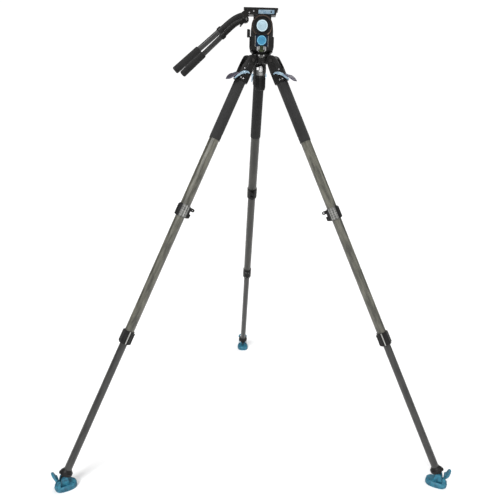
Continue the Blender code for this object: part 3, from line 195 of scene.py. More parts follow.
def anodised(name):
    """Pale blue anodised metal with cloudy, deeper patches."""
    paint = Paint(name, (0.36, 0.55, 0.68), 0.26, 0.85, Coat_Weight=0.2)
    mist = paint.scaled(paint.noise(75.0, 4.0), 0.0, 1.0, 0.3, 0.7)
    grain = paint.noise(1500.0, 2.0)
    paint.set("Base Color", paint.mix(mist, (0.22, 0.36, 0.50), (0.52, 0.68, 0.78)))
    paint.set("Roughness", paint.scaled(grain, 0.2, 0.36, 0.3, 0.7))
    paint.set("Normal", paint.bump(grain, 0.00004, 0.4))
    return paint.material


def carbon(name, matrix, radius, dark, light, thread=0.0020):
    """Twill carbon under clear lacquer, woven round a tube's own axis."""
    paint = Paint(name, light, 0.36, 0.1, Coat_Weight=0.45, Coat_Roughness=0.22, Specular_IOR_Level=0.45)
    x, y, z = paint.split(paint.place(matrix))
    threads = round(math.tau * radius / thread / 4) * 4
    around = paint.math("MULTIPLY", paint.math("ARCTAN2", y, x), threads / math.tau)
    along = paint.math("DIVIDE", z, thread)
    column = paint.math("FLOOR", around)
    row = paint.math("FLOOR", along)
    step = paint.math("FLOORED_MODULO", paint.math("ADD", column, row), 4.0)
    over = paint.math("LESS_THAN", step, 1.5)
    warp = paint.math("PINGPONG", around, 0.5)
    weft = paint.math("PINGPONG", along, 0.5)
    round_up = paint.add("ShaderNodeMix", {0: over, 2: weft, 3: warp}, data_type="FLOAT").outputs[0]
    fibre = paint.scaled(paint.noise(2600.0, 1.0), -0.08, 0.08)
    shade = paint.math("ADD", paint.math("MULTIPLY_ADD", round_up, 0.7, 0.15), fibre)
    drawn = {"Vector": paint.place(matrix), "Scale": (70.0, 70.0, 16.0)}
    long = paint.add("ShaderNodeMapping", drawn).outputs[0]
    mottle = paint.scaled(paint.noise(1.0, 4.0, long, 0.6), 0.0, 1.0, 0.38, 0.62)
    diagonal = paint.math("MULTIPLY", paint.math("ADD", around, along), 0.25)
    slant = paint.math("PINGPONG", diagonal, 0.5)
    cloudy = paint.math("MULTIPLY_ADD", slant, 0.55, paint.math("MULTIPLY", mottle, 0.80))
    tint = paint.mix(cloudy, dark, light)
    tint = paint.mix(paint.math("MULTIPLY", over, 0.30), tint, dark)
    # each thread is painted darker towards its edges, as shade of its rounded profile
    thread_shade_colour = tuple(0.45 * c for c in dark)
    paint.set("Base Color", paint.mix(paint.scaled(shade, 0.0, 1.0, 0.0, 0.5), thread_shade_colour, tint))
    paint.set("Roughness", paint.scaled(paint.noise(40.0), 0.30, 0.42, 0.3, 0.7))
    paint.set("Normal", paint.bump(round_up, 0.00010, 0.35))
    return paint.material


def foam(name, colour=(0.0080, 0.0078, 0.0078)):
    """Closed-cell grip foam."""
    paint = Paint(name, colour, 0.78, 0.0, Specular_IOR_Level=0.2, Sheen_Weight=0.1, Sheen_Roughness=0.5)
    bubbles = paint.add("ShaderNodeTexVoronoi", {"Vector": paint.place(), "Scale": 900.0})
    cells = bubbles.outputs["Distance"]
    wear = paint.noise(9.0, 4.0)
    lighter = tuple(1.8 * c for c in colour)
    paint.set("Base Color", paint.mix(paint.scaled(wear, 0.0, 1.0, 0.35, 0.65), colour, lighter))
    paint.set("Roughness", paint.scaled(wear, 0.68, 0.86, 0.3, 0.7))
    paint.set("Normal", paint.bump(cells, 0.00025, 0.5))
    return paint.material


def rubber(name):
    """The feet's blue rubber, dusty and greyer low down."""
    paint = Paint(name, (0.020, 0.170, 0.250), 0.50, 0.0, Specular_IOR_Level=0.45)
    spots = paint.noise(70.0, 5.0)
    height = paint.split(paint.place())[2]
    low = paint.scaled(height, 1.0, 0.0, 0.0, 0.020)
    blotches = paint.scaled(spots, 0.0, 1.0, 0.35, 0.65)
    base = paint.mix(blotches, (0.006, 0.070, 0.120), (0.026, 0.190, 0.275))
    dust = paint.math("MULTIPLY", low, paint.scaled(paint.noise(240.0), 0.0, 0.6, 0.45, 0.7))
    paint.set("Base Color", paint.mix(dust, base, (0.080, 0.160, 0.200)))
    paint.set("Roughness", paint.scaled(spots, 0.45, 0.66, 0.3, 0.7))
    paint.set("Normal", paint.bump(paint.noise(1100.0, 2.0), 0.00020, 0.5))
    return paint.material


RING_PITCH = 0.0004               # of the turning marks on a dial
TICKS = 24


def dial(name, centre, colour, rim, radius, face):
    """A turned dial with rings and faint ticks, a lighter rim, and a dark lip outside its face."""
    paint = Paint(name, colour, 0.32, 0.35, Coat_Weight=0.3)
    x, y, z = paint.split(paint.place(Matrix.Translation(centre)))
    squares = paint.math("ADD", paint.math("MULTIPLY", x, x), paint.math("MULTIPLY", z, z))
    across = paint.math("SQRT", squares)
    rings = paint.math("PINGPONG", across, RING_PITCH)
    fine = paint.scaled(rings, 0.0, 1.0, 0.0, RING_PITCH)
    mist = paint.noise(35.0, 3.0)
    middle = paint.mix(paint.scaled(mist, 0.0, 1.0, 0.35, 0.65), tuple(0.8 * c for c in colour), colour)
    turn = paint.math("MULTIPLY", paint.math("ARCTAN2", z, x), TICKS / math.tau)
    tick = paint.math("LESS_THAN", paint.math("PINGPONG", turn, 0.5), 0.10)
    outside = paint.math("GREATER_THAN", across, 0.62 * face * radius)
    marks = paint.math("MULTIPLY", paint.math("MULTIPLY", tick, outside), 0.30)
    middle = paint.mix(marks, middle, tuple(0.5 * c for c in colour))
    face_radius = face * radius
    bright = paint.scaled(across, 0.0, 1.0, 0.84 * face_radius, 0.88 * face_radius)
    edged = paint.mix(bright, middle, rim)
    lip = paint.scaled(across, 0.0, 1.0, face_radius, face_radius + 0.0004)
    paint.set("Base Color", paint.mix(lip, edged, (0.010, 0.020, 0.030)))
    paint.set("Roughness", paint.scaled(fine, 0.26, 0.40))
    paint.set("Normal", paint.bump(fine, 0.00006, 0.4))
    return paint.material


def ball_and_stud(name, cut, nut, washer):
    """Satin black down to the ball's flat; on the stud below it a polished nut whose near-white colour is
    partly a painted highlight, and a greyer washer.
    """
    paint = Paint(name, (0.005, 0.005, 0.005), 0.34, 0.4, Specular_IOR_Level=0.25)
    height = paint.split(paint.place())[2]
    below = paint.math("LESS_THAN", height, cut)
    lower = paint.math("LESS_THAN", height, (nut + washer) / 2)
    streaks = paint.noise(40.0, 4.0)
    # the nut's near-white colour is partly polished metal, partly a painted highlight
    metal_and_glint = paint.mix(lower, (0.86, 0.86, 0.86), (0.42, 0.42, 0.41))
    metal_and_glint = paint.mix(paint.scaled(streaks, 0.0, 0.25, 0.35, 0.65), metal_and_glint, (0.25, 0.25, 0.25))
    paint.set("Base Color", paint.mix(below, (0.0050, 0.0047, 0.0045), metal_and_glint))
    paint.set("Roughness", paint.scaled(streaks, 0.24, 0.40, 0.3, 0.7))
    paint.set("Normal", paint.bump(paint.noise(700.0, 2.0), 0.00008, 0.4))
    return paint.material


def glass(name):
    """The level's dark green liquid."""
    paint = Paint(name, (0.030, 0.042, 0.018), 0.08, 0.0, Transmission_Weight=0.2, IOR=1.45)
    mist = paint.noise(90.0)
    cloud = paint.scaled(mist, 0.0, 1.0, 0.4, 0.6)
    paint.set("Base Color", paint.mix(cloud, (0.020, 0.030, 0.012), (0.045, 0.060, 0.026)))
    paint.set("Roughness", paint.scaled(mist, 0.04, 0.12))
    return paint.material


# ---------------------------------------------------------------- frames


def basis(x, y, z, origin):
    """A matrix from three unit axes and an origin."""
    turned = Matrix((x, y, z)).transposed().to_4x4()
    turned.translation = origin
    return turned


def leg_frame(leg):
    """A leg's frame at rest: X along the hinge, Y outwards, Z up the leg, at the hinge."""
    fold = JOINTS[f"{leg}_leg_fold"]
    x = Vector(fold["axis"]).normalized()
    z = Vector(JOINTS[f"{leg}_middle_slide"]["axis"]).normalized()
    return basis(x, z.cross(x), z, Vector(fold["pos_m"]))


def handle_frame(side):
    """A pan handle's frame: Z down the bar, at the end of its arm."""
    twist = JOINTS[f"{side}_collar_twist"]
    z = Vector(twist["axis"]).normalized()
    x = Vector((0.0, 0.0, 1.0)).cross(z).normalized()
    return basis(x, z.cross(x), z, Vector(twist["pos_m"]))


def span(name, matrix):
    """A node's lowest and highest corner in a local frame."""
    back = matrix.inverted()
    spots = [back @ vertex.co for vertex in NODES[name].data.vertices]
    low = Vector([min(spot[i] for spot in spots) for i in range(3)])
    high = Vector([max(spot[i] for spot in spots) for i in range(3)])
    return low, high


def paint_node(name, material):
    """Gives a CAD node its finished material."""
    slots = NODES[name].material_slots
    if not slots:
        NODES[name].data.materials.append(material)
    for slot in slots:
        slot.link = "OBJECT"
        slot.material = material


def soften(name, width=0.0006, segments=2):
    """Rounds a CAD node's hard edges."""
    bevel = NODES[name].modifiers.new("edges", "BEVEL")
    bevel.width = width
    bevel.segments = segments
    bevel.limit_method = "ANGLE"
    bevel.angle_limit = math.radians(40)
    bevel.use_clamp_overlap = True
    bevel.harden_normals = True


# ---------------------------------------------------------------- mesh tools


def mesh_object(name, bm, material):
    """An object from a bmesh."""
    bmesh.ops.recalc_face_normals(bm, faces=bm.faces)
    mesh = bpy.data.meshes.new(name)
    bm.to_mesh(mesh)
    bm.free()
    mesh.materials.append(material)
    made = bpy.data.objects.new(name, mesh)
    bpy.context.scene.collection.objects.link(made)
    return made


def attach(name, bm, material, body, matrix):
    """Finishes a detail piece made in a local frame and hangs it on a body."""
    made = mesh_object(name, bm, material)
    made.data.shade_smooth()
    made.data.set_sharp_from_angle(angle=math.radians(34))
    made.matrix_world = matrix
    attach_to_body(made, body)
    return made


def loft(bm, rings, closed=False):
    """Faces through rings of points, with ends unless it closes on itself."""
    made = [[bm.verts.new(spot) for spot in ring] for ring in rings]
    count = len(made[0])
    pairs = list(zip(made, made[1:]))
    if closed:
        pairs.append((made[-1], made[0]))
    for one, two in pairs:
        for i in range(count):
            j = (i + 1) % count
            bm.faces.new((one[i], one[j], two[j], two[i]))
    if not closed:
        bm.faces.new(made[0])
        bm.faces.new(made[-1])


def block(bm, low, high, edge=0.0008):
    """A block between two corners, with chamfered edges."""
    rings = []
    for z, inset in ((low[2], edge), (low[2] + edge, 0.0), (high[2] - edge, 0.0), (high[2], edge)):
        x0, x1 = low[0] + inset, high[0] - inset
        y0, y1 = low[1] + inset, high[1] - inset
        outline = ((x0 + edge, y0), (x1 - edge, y0), (x1, y0 + edge), (x1, y1 - edge))
        outline += ((x1 - edge, y1), (x0 + edge, y1), (x0, y1 - edge), (x0, y0 + edge))
        rings.append([(x, y, z) for x, y in outline])
    loft(bm, rings)


def turned(bm, profile, place, sides=28, closed=False, start=0.0, end=math.tau):
    """A profile of (radius, height) turned about Z and placed by a matrix."""
    whole = end - start > math.tau - 0.001
    steps = sides if whole else sides + 1
    rings = []
    for i in range(steps):
        a = start + (end - start) * i / sides
        rings.append([place @ Vector((r * math.cos(a), r * math.sin(a), h)) for r, h in profile])
    if closed:
        loft(bm, rings, whole)
        return
    loft(bm, [[ring[k] for ring in rings] for k in range(len(profile))])


def button(bm, place, radius, height, edge=0.25):
    """A small round head standing on the XY plane, with a hollow in its middle."""
    soft = edge * height
    profile = [(radius, 0.0), (radius, height - soft), (radius - soft, height), (0.5 * radius, height)]
    profile += [(0.4 * radius, 0.6 * height)]
    turned(bm, profile, place, 20)


def smooth(points, per=4):
    """Points of a smooth curve through the given ones."""
    spots = [Vector(point) for point in points]
    ends = [2 * spots[0] - spots[1], *spots, 2 * spots[-1] - spots[-2]]
    made = []
    for i in range(1, len(ends) - 2):
        a, b, c, d = ends[i - 1 : i + 3]
        for k in range(per):
            t = k / per
            square = (2 * a - 5 * b + 4 * c - d) * t**2
            cube = (3 * b - a - 3 * c + d) * t**3
            made.append(0.5 * (2 * b + (c - a) * t + square + cube))
    return made + [spots[-1]]


def band(bm, path, edge=0.0007):
    """A strip through (y, z, half thickness, low x, high x) points."""
    spots = [Vector(point[:2]) for point in path]
    rings = []
    for i, (y, z, thick, x0, x1) in enumerate(path):
        ahead = (spots[min(i + 1, len(spots) - 1)] - spots[max(i - 1, 0)]).normalized()
        outline = ((x0 + edge, -thick), (x1 - edge, -thick), (x1, edge - thick), (x1, thick - edge))
        outline += ((x1 - edge, thick), (x0 + edge, thick), (x0, thick - edge), (x0, edge - thick))
        rings.append([(x, y - ahead.y * n, z + ahead.x * n) for x, n in outline])
    loft(bm, rings)


def facing(direction, origin):
    """A frame at a point whose Z looks in a direction."""
    turn = Vector(direction).to_track_quat("Z", "Y").to_matrix().to_4x4()
    return Matrix.Translation(origin) @ turn


# ---------------------------------------------------------------- painted nodes

BLACK = enamel("satin_black", (0.0050, 0.0047, 0.0045), (0.11, 0.11, 0.115))
MOULDED = enamel("moulded_black", BLACK_BASE, (0.040, 0.039, 0.038), 0.46, 0.0, 1600.0, 0.0002)
SILVER = metal("satin_aluminium", (0.72, 0.72, 0.73))
PIN = metal("dark_steel", (0.060, 0.058, 0.056), 0.34)
FOAM = foam("grip_foam")
SLEEVE = foam("sleeve_foam", (0.0135, 0.0135, 0.0135))
RUBBER = rubber("foot_rubber")
BLUE = anodised("blue_anodised")
GLASS = glass("vial_glass")

REAR_PAINTED_SHADE = 0.26                  # painted shade: the rear leg's tubes darkened against the front ones
for leg in LEGS:
    local = leg_frame(leg)
    paint_node(f"{leg}_hip", BLACK)
    paint_node(f"{leg}_hip_pin", PIN)
    paint_node(f"{leg}_release_lever", BLUE)
    paint_node(f"{leg}_grip_sleeve", SLEEVE)
    radius = span(f"{leg}_spreader_clamp", local)[1].x
    paint_node(f"{leg}_spreader_clamp", flanked(f"{leg}_clamp_metal", local, radius, -0.45 * radius))
    paint_node(f"{leg}_lock_collar", MOULDED)
    paint_node(f"{leg}_ankle", MOULDED)
    paint_node(f"{leg}_foot", RUBBER)
    paint_node(f"{leg}_foot_latch", RUBBER)
    tone = REAR_PAINTED_SHADE if leg == "rear" else 1.0
    for stage, dark, light in (
        ("upper", (0.036, 0.035, 0.027), (0.215, 0.208, 0.162)),
        ("middle", (0.034, 0.033, 0.026), (0.200, 0.194, 0.152)),
        ("lower", (0.009, 0.009, 0.0086), (0.050, 0.048, 0.045)),
    ):
        # the rear leg's upper and middle tubes are made darker as painted shade
        if stage != "lower":
            dark = tuple(tone * c for c in dark)
            light = tuple(tone * c for c in light)
        radius = span(f"{leg}_{stage}_tube", local)[1].x
        woven = carbon(f"{leg}_{stage}_carbon", local, radius, dark, light)
        paint_node(f"{leg}_{stage}_tube", woven)
    for part in ("hip", "release_lever", "spreader_clamp", "ankle", "foot", "foot_latch"):
        soften(f"{leg}_{part}")

for name in ("crown", "half_ball", "head_body", "tilt_drum", "plate_receiver", "camera_plate"):
    paint_node(name, BLACK)
    soften(name)
KNOBS = ("tie_down_handle", "counterbalance_knob", "tilt_lock_lever", "pan_lock_lever", "handle_clamp_lever")
for name in KNOBS:
    paint_node(name, MOULDED)
    soften(name)
STUD_NUT = 0.0510                 # the nut's middle over the stud's end
NUT_TO_BALL = 0.0110
NUT_TO_WASHER = 0.0190
nut_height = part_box("half_ball")[0].z + STUD_NUT
two_tone = ball_and_stud("ball_and_stud", nut_height + NUT_TO_BALL, nut_height, nut_height - NUT_TO_WASHER)
paint_node("half_ball", two_tone)
paint_node("camera_screw", SILVER)
paint_node("plate_clamp_lever", BLUE)
soften("plate_clamp_lever")
paint_node("bubble_level", GLASS)
for name, colour, rim, face in (
    ("tilt_drag_dial", (0.44, 0.62, 0.71), (0.58, 0.75, 0.82), 0.90),
    ("pan_drag_dial", (0.050, 0.270, 0.460), (0.17, 0.48, 0.66), 0.95),
):
    low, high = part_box(name)
    centre = (Vector(low) + Vector(high)) / 2
    paint_node(name, dial(name + "_face", centre, colour, rim, (high[0] - low[0]) / 2, face))

for side in ("near", "far"):
    local = handle_frame(side)
    paint_node(f"{side}_handle_arm", BLACK)
    radius = span(f"{side}_handle_bar", local)[1].x
    tones = ((0.004, 0.004, 0.004), (0.020, 0.0195, 0.019))
    woven = carbon(f"{side}_bar_carbon", local, radius, *tones, 0.0016)
    paint_node(f"{side}_handle_bar", woven)
    paint_node(f"{side}_handle_collar", MOULDED)
    paint_node(f"{side}_handle_grip", FOAM)
    soften(f"{side}_handle_grip", 0.0024, 4)
    soften(f"{side}_handle_collar", 0.0012, 3)

# ---------------------------------------------------------------- details on the legs

STRIP = metal("light_strip", (0.50, 0.50, 0.48), 0.34)
LEVER_DARK = enamel("lever_plum", (0.060, 0.052, 0.072), (0.30, 0.33, 0.40), 0.34, 0.5)
NAVY = enamel("navy_plate", (0.004, 0.016, 0.040), (0.03, 0.08, 0.14), 0.22, 0.0)
BRONZE = metal("bronze_ring", (0.085, 0.060, 0.048), 0.32)


ARM_GAP = 0.0004
ARM_WIDTH = 0.0042
# outwards and up from the lever's pivot, and half the thickness there
ARM_CURVE = ((-0.0205, 0.0072, 0.0020), (-0.0100, 0.0072, 0.0036), (0.0010, 0.0005, 0.0046),
             (0.0130, -0.0120, 0.0044), (0.0225, -0.0280, 0.0034), (0.0290, -0.0405, 0.0020))
PADDLE_ROOT = ((0.0170, -0.0120, 0.0016), (0.0250, -0.0195, 0.0022))
# the same, and half the width there
PADDLE_CURVE = ((0.0320, -0.0310, 0.0023, 0.0275), (0.0375, -0.0430, 0.0021, 0.0200),
                (0.0405, -0.0490, 0.0018, 0.0140), (0.0425, -0.0500, 0.0012, 0.0120))
RIDGES = (0.26, 0.50, 0.74)       # places of the finger ridges along the paddle


def make_lever_skin(leg, local):
    """The curved squeeze lever that stands for the plain one: pale arms and a darker hooked paddle."""
    pivot = local.inverted() @ Vector(JOINTS[f"{leg}_release"]["pos_m"])
    inner = span(f"{leg}_hip", local)[1].x + ARM_GAP
    outer = inner + ARM_WIDTH
    bm = bmesh.new()
    for side in (-1, 1):
        x0, x1 = sorted((side * inner, side * outer))
        band(bm, [(pivot.y + y, pivot.z + z, thick, x0, x1) for y, z, thick in smooth(ARM_CURVE)])
        place = facing((side, 0.0, 0.0), (side * (outer - ARM_GAP), pivot.y, pivot.z))
        button(bm, place, 0.0058, 0.0022)
    arms = attach(f"{leg}_lever_arms", bm, BLUE, f"{leg}_lever", local)
    path = smooth([(*spot, outer) for spot in PADDLE_ROOT] + list(PADDLE_CURVE))
    bm = bmesh.new()
    band(bm, [(pivot.y + y, pivot.z + z, thick, -wide, wide) for y, z, thick, wide in path])
    for share in RIDGES:
        y, z, thick, wide = path[round(share * (len(path) - 1))]
        ends = ((0.0010, 0.0026), (0.0022, 0.0000))
        ridge = [(pivot.y + y + dy, pivot.z + z + dz, 0.0014, -0.7 * wide, 0.7 * wide) for dy, dz in ends]
        band(bm, ridge, 0.0004)
    paddle = attach(f"{leg}_lever_paddle", bm, LEVER_DARK, f"{leg}_lever", local)
    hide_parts(f"{leg}_release_lever")
    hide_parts(f"{leg}_release_lever")


HIP_SCREWS = ((0.0175, -0.0440), (0.0165, -0.0815), (0.0050, -0.0800))


def make_hip_details(leg, local):
    """Screw heads and a raised panel on each side of the hip."""
    side_x = span(f"{leg}_hip", local)[1].x
    screws = bmesh.new()
    panels = bmesh.new()
    for side in (-1, 1):
        for y, z in HIP_SCREWS:
            face = side * (side_x - 0.0008)
            button(screws, facing((side, 0.0, 0.0), (face, y, z)), 0.0026, 0.0018)
        x0, x1 = sorted((side * (side_x - 0.0010), side * (side_x + 0.0006)))
        block(panels, (x0, -0.0150, -0.0390), (x1, 0.0110, -0.0150), 0.0005)
    attach(f"{leg}_hip_screws", screws, SILVER, f"{leg}_leg", local)
    attach(f"{leg}_hip_panels", panels, BLACK, f"{leg}_leg", local)


CLAMP_RIBS = 5
FLUTES = (-22.0, 4.0, 30.0)       # degrees round each flank
THUMB_TURNS = ((-0.0262, 0.86), (-0.0270, 1.0), (-0.0348, 1.0), (-0.0358, 0.86))
THUMB_RADIUS = 0.0077
THUMB_KNURL = 0.0007
THUMB_SIDES = 32
THUMB_RISE = 0.0107               # the thumb screw's middle over the clamp's lower edge


def make_clamp_details(leg, local):
    """The spreader clamp's outer panel, light flutes and knurled thumb screw."""
    low, high = span(f"{leg}_spreader_clamp", local)
    radius = high.y
    black = bmesh.new()
    top = high.z - 0.0035
    block(black, (-0.0120, radius - 0.0030, low.z + 0.0020), (0.0120, radius + 0.0006, top), 0.0012)
    for i in range(CLAMP_RIBS):
        z = low.z + 0.0080 + i * (high.z - low.z - 0.0175) / (CLAMP_RIBS - 1)
        block(black, (-0.0090, radius, z - 0.0011), (0.0090, radius + 0.0014, z + 0.0011), 0.0004)
    top = high.z - 0.0060
    block(black, (-0.0125, -radius - 0.0030, low.z + 0.0010), (0.0125, 0.0040 - radius, top), 0.0014)
    attach(f"{leg}_clamp_panel", black, MOULDED, f"{leg}_leg", local)
    light = bmesh.new()
    for side in (-1, 1):
        for turn in FLUTES:
            a = math.radians(turn)
            heading = math.atan2(math.sin(a), side * math.cos(a))
            start = len(light.verts)
            corners = ((radius - 0.0008, -0.0011, low.z + 0.0015), (radius + 0.0006, 0.0011, high.z - 0.0015))
            block(light, *corners, 0.0004)
            turned_round = list(light.verts)[start:]
            bmesh.ops.transform(light, matrix=Matrix.Rotation(heading, 4, "Z"), verts=turned_round)
    attach(f"{leg}_clamp_flutes", light, STRIP, f"{leg}_leg", local)
    thumb = bmesh.new()
    rings = []
    for y, grow in THUMB_TURNS:
        ring = []
        for k in range(THUMB_SIDES):
            a = math.tau * k / THUMB_SIDES
            reach = (THUMB_RADIUS - THUMB_KNURL * (k % 2)) * grow
            ring.append((reach * math.cos(a), y, low.z + THUMB_RISE + reach * math.sin(a)))
        rings.append(ring)
    loft(thumb, rings)
    attach(f"{leg}_thumb_screw", thumb, MOULDED, f"{leg}_leg", local)


def make_collar_details(leg, local):
    """The lock collar's two clamp blocks, their bolt lugs and the light strips between them."""
    low, high = span(f"{leg}_lock_collar", local)
    radius = high.x
    black = bmesh.new()
    top = high.z - 0.0010
    block(black, (-0.0125, radius - 0.0060, low.z + 0.0030), (0.0125, radius + 0.0008, top), 0.0018)
    block(black, (-0.0140, -radius - 0.0014, low.z), (0.0140, 0.0075 - radius, high.z - 0.0055), 0.0020)
    lugs = (low.z + 0.0040, high.z - 0.0155)
    for z in lugs:
        block(black, (-0.0070, -radius - 0.0045, z), (0.0070, 0.0020 - radius, z + 0.0085), 0.0014)
    attach(f"{leg}_collar_blocks", black, MOULDED, f"{leg}_middle_stage", local)
    light = bmesh.new()
    for side in (-1, 1):
        x0, x1 = sorted((side * (radius - 0.0016), side * (radius + 0.0004)))
        block(light, (x0, 0.0010, low.z + 0.0010), (x1, 0.0052, high.z - 0.0010), 0.0004)
        for z in lugs:
            place = facing((side, 0.0, 0.0), (side * 0.0066, -radius - 0.0022, z + 0.0042))
            button(light, place, 0.0022, 0.0014)
    attach(f"{leg}_collar_strips", light, STRIP, f"{leg}_middle_stage", local)


RIM_SIDES = 40
RIM_SECTION = ((-0.0010, 0.0030), (0.0010, 0.0036), (0.0012, 0.0062), (-0.0010, 0.0070))
PAD_SQUARENESS = 2.6              # 2 is an ellipse
PAD_THICKNESS = 0.0200


def make_foot_details(leg):
    """The boot round the ankle, and the pad's rim, dark sheets painted as the shade in its recesses, and
    rivets.
    """
    pivot = JOINTS[f"{leg}_ankle_pivot"]
    x = Vector(pivot["axis"]).normalized()
    up = Vector((0.0, 0.0, 1.0))
    place = basis(x, up.cross(x), up, Vector(pivot["pos_m"]))
    low, high = span(f"{leg}_foot", place)
    middle = (low.y + high.y) / 2
    top = low.z + PAD_THICKNESS
    rim = bmesh.new()
    rings = []
    for k in range(RIM_SIDES):
        a = math.tau * k / RIM_SIDES
        c, n = math.cos(a), math.sin(a)
        u = math.copysign(abs(c) ** (2 / PAD_SQUARENESS), c)
        v = math.copysign(abs(n) ** (2 / PAD_SQUARENESS), n)
        ring = []
        for grow, z in RIM_SECTION:
            ring.append(((high.x + grow) * u, middle + (high.y - middle + grow) * v, low.z + z))
        rings.append(ring)
    loft(rim, rings, True)
    attach(f"{leg}_foot_rim", rim, RUBBER, f"{leg}_pad", place)
    # thin dark sheets on the pad's top, painted as the shade in its recesses
    dark = bmesh.new()
    rivets = bmesh.new()
    for side in (-1, 1):
        x0, x1 = sorted((side * 0.0162, side * 0.0238))
        block(dark, (x0, middle + 0.0020, top - 0.0008), (x1, middle + 0.0260, top + 0.0005), 0.0004)
        button(rivets, facing(up, (side * 0.0165, middle - 0.0240, top - 0.0004)), 0.0028, 0.0016)
    attach(f"{leg}_foot_recess_shade", dark, RUBBER_DARK_AND_SHADE, f"{leg}_pad", place)
    attach(f"{leg}_foot_rivets", rivets, RUBBER_DARK_AND_SHADE, f"{leg}_pad", place)
    local = leg_frame(leg)
    high = span(f"{leg}_ankle", local)[1]
    tube = span(f"{leg}_lower_tube", local)[1].x
    boot = bmesh.new()
    face = high.z - 0.0005
    profile = [(tube + 0.0002, face), (high.x - 0.0040, face), (high.x - 0.0052, face + 0.0035)]
    profile += [(tube + 0.0022, face + 0.0072), (tube + 0.0002, face + 0.0072)]
    turned(boot, profile, Matrix.Identity(4), 32, True)
    outside = high.x + 0.0035
    block(boot, (-0.0060, high.x - 0.0060, face - 0.0125), (0.0060, outside, face - 0.0015), 0.0018)
    attach(f"{leg}_ankle_boot", boot, MOULDED, f"{leg}_lower_stage", local)


LOOP_LEAN = math.radians(59)
# half of the loop's outline: across the leg, and up from the hinge
LOOP_SIDE = ((0.0080, 0.0020), (0.0170, 0.0050), (0.0240, 0.0140), (0.0258, 0.0215),
             (0.0205, 0.0295), (0.0120, 0.0335), (0.0045, 0.0345))
LOOP_MIDDLE = Vector((0.0, 0.0180))
# half of the loop's section: inwards, and through its thickness
LOOP_SECTION = ((0.0, -0.0026), (0.0012, -0.0038), (0.0080, -0.0038), (0.0092, -0.0026))
LOOP_BARREL = ((0.0042, -0.0186), (0.0042, 0.0186))


def make_latch_skin(leg):
    """The rubber pull loop, leaning further out than the plain one that it stands for."""
    hinge = JOINTS[f"{leg}_latch_pivot"]
    x = Vector(hinge["axis"]).normalized()
    up = Vector((0.0, 0.0, 1.0))
    place = basis(x, up.cross(x), up, Vector(hinge["pos_m"]))
    along = Vector((0.0, math.cos(LOOP_LEAN), math.sin(LOOP_LEAN)))
    through = Vector((0.0, -math.sin(LOOP_LEAN), math.cos(LOOP_LEAN)))
    outline = [*LOOP_SIDE, *[(-w, t) for w, t in reversed(LOOP_SIDE)], LOOP_SIDE[0]]
    loop = bmesh.new()
    rings = []
    for spot in smooth(outline, 3)[:-1]:
        inward = (LOOP_MIDDLE - spot).normalized()
        ring = [(*(spot + inward * share), depth) for share, depth in LOOP_SECTION]
        ring += [(w, t, -depth) for w, t, depth in reversed(ring)]
        rings.append([Vector((w, 0.0, 0.0)) + t * along + depth * through for w, t, depth in ring])
    loft(loop, rings, True)
    block(loop, (-0.0090, -0.0030, -0.0030), (0.0090, 0.0042, 0.0090), 0.0012)
    turned(loop, LOOP_BARREL, facing((1.0, 0.0, 0.0), (0.0, 0.0, 0.0)), 24)
    made = attach(f"{leg}_pull_loop", loop, RUBBER, f"{leg}_latch", place)
    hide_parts(f"{leg}_foot_latch")


# dark rubber for the rivets, and painted shade for the pad's recesses
SHADE_AND_DARK_TONES = ((0.004, 0.050, 0.085), (0.010, 0.090, 0.130))
RUBBER_DARK_AND_SHADE = enamel("foot_rubber_dark_and_shade", *SHADE_AND_DARK_TONES, 0.55, 0.0, 1200.0, 0.0002)
for leg in LEGS:
    local = leg_frame(leg)
    make_lever_skin(leg, local)
    make_hip_details(leg, local)
    make_clamp_details(leg, local)
    make_collar_details(leg, local)
    make_foot_details(leg)
    make_latch_skin(leg)

# ---------------------------------------------------------------- details on the head

BALL = Vector(JOINTS["bowl_level"]["pos_m"])
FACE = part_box("tilt_drag_dial")[1].y


BEZEL_OUTSIDE = 0.0162            # the bezel's rim outside the dial
BEZEL_WIDTH = 0.0034
BEZEL_OPENING = math.radians(36)  # half of what the recess cuts away


def make_tilt_bezel():
    """The bronze bezel on the yoke's ring, open where the pan dial's recess cuts it."""
    bm = bmesh.new()
    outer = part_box("tilt_drag_dial")[1].x - TILT.x + BEZEL_OUTSIDE
    inner = outer - BEZEL_WIDTH
    profile = [(inner, -0.0010), (outer, -0.0010), (outer, 0.0040), (outer - 0.0008, 0.0048)]
    profile += [(inner, 0.0042)]
    place = facing((0.0, -1.0, 0.0), (0.0, FACE - TILT.y, 0.0))
    down = place.inverted().to_3x3() @ Vector((0.0, 0.0, -1.0))
    start = math.atan2(down.y, down.x) + BEZEL_OPENING
    turned(bm, profile, place, 56, True, start, start + math.tau - 2 * BEZEL_OPENING)
    attach("tilt_bezel", bm, BRONZE, "pan_housing", Matrix.Translation(TILT))


def make_recess_trim():
    """The navy plate behind the pan dial and the light edges of its recess."""
    dial_low, dial_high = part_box("pan_drag_dial")
    middle = (dial_low + dial_high) / 2
    radius = dial_high.x - middle.x
    place = Matrix.Translation((middle.x, 0.0, middle.z))
    navy = bmesh.new()
    behind = dial_high.y
    corners = ((-0.0233, behind + 0.0001, -radius - 0.0028), (0.0233, behind + 0.0012, radius + 0.0020))
    block(navy, *corners, 0.0004)
    attach("recess_plate", navy, NAVY, "pan_housing", place)
    light = bmesh.new()
    for side in (-1, 1):
        x0, x1 = sorted((side * 0.0236, side * 0.0254))
        corners = ((x0, FACE - 0.0012, -radius - 0.0050), (x1, FACE + 0.0010, radius - 0.0010))
        block(light, *corners, 0.0003)
    attach("recess_edges", light, STRIP, "pan_housing", place)


# inner and outer side, foot and head of the level's cheeks, from its middle
LEVEL_CHEEKS = ((0.0072, 0.0118, -0.0030, 0.0095), (0.0134, 0.0178, -0.0070, 0.0080))
BASE_MARKS = (-0.0118, -0.0036, 0.0040, 0.0102)
BASE_MARK_WIDTH = 0.0030


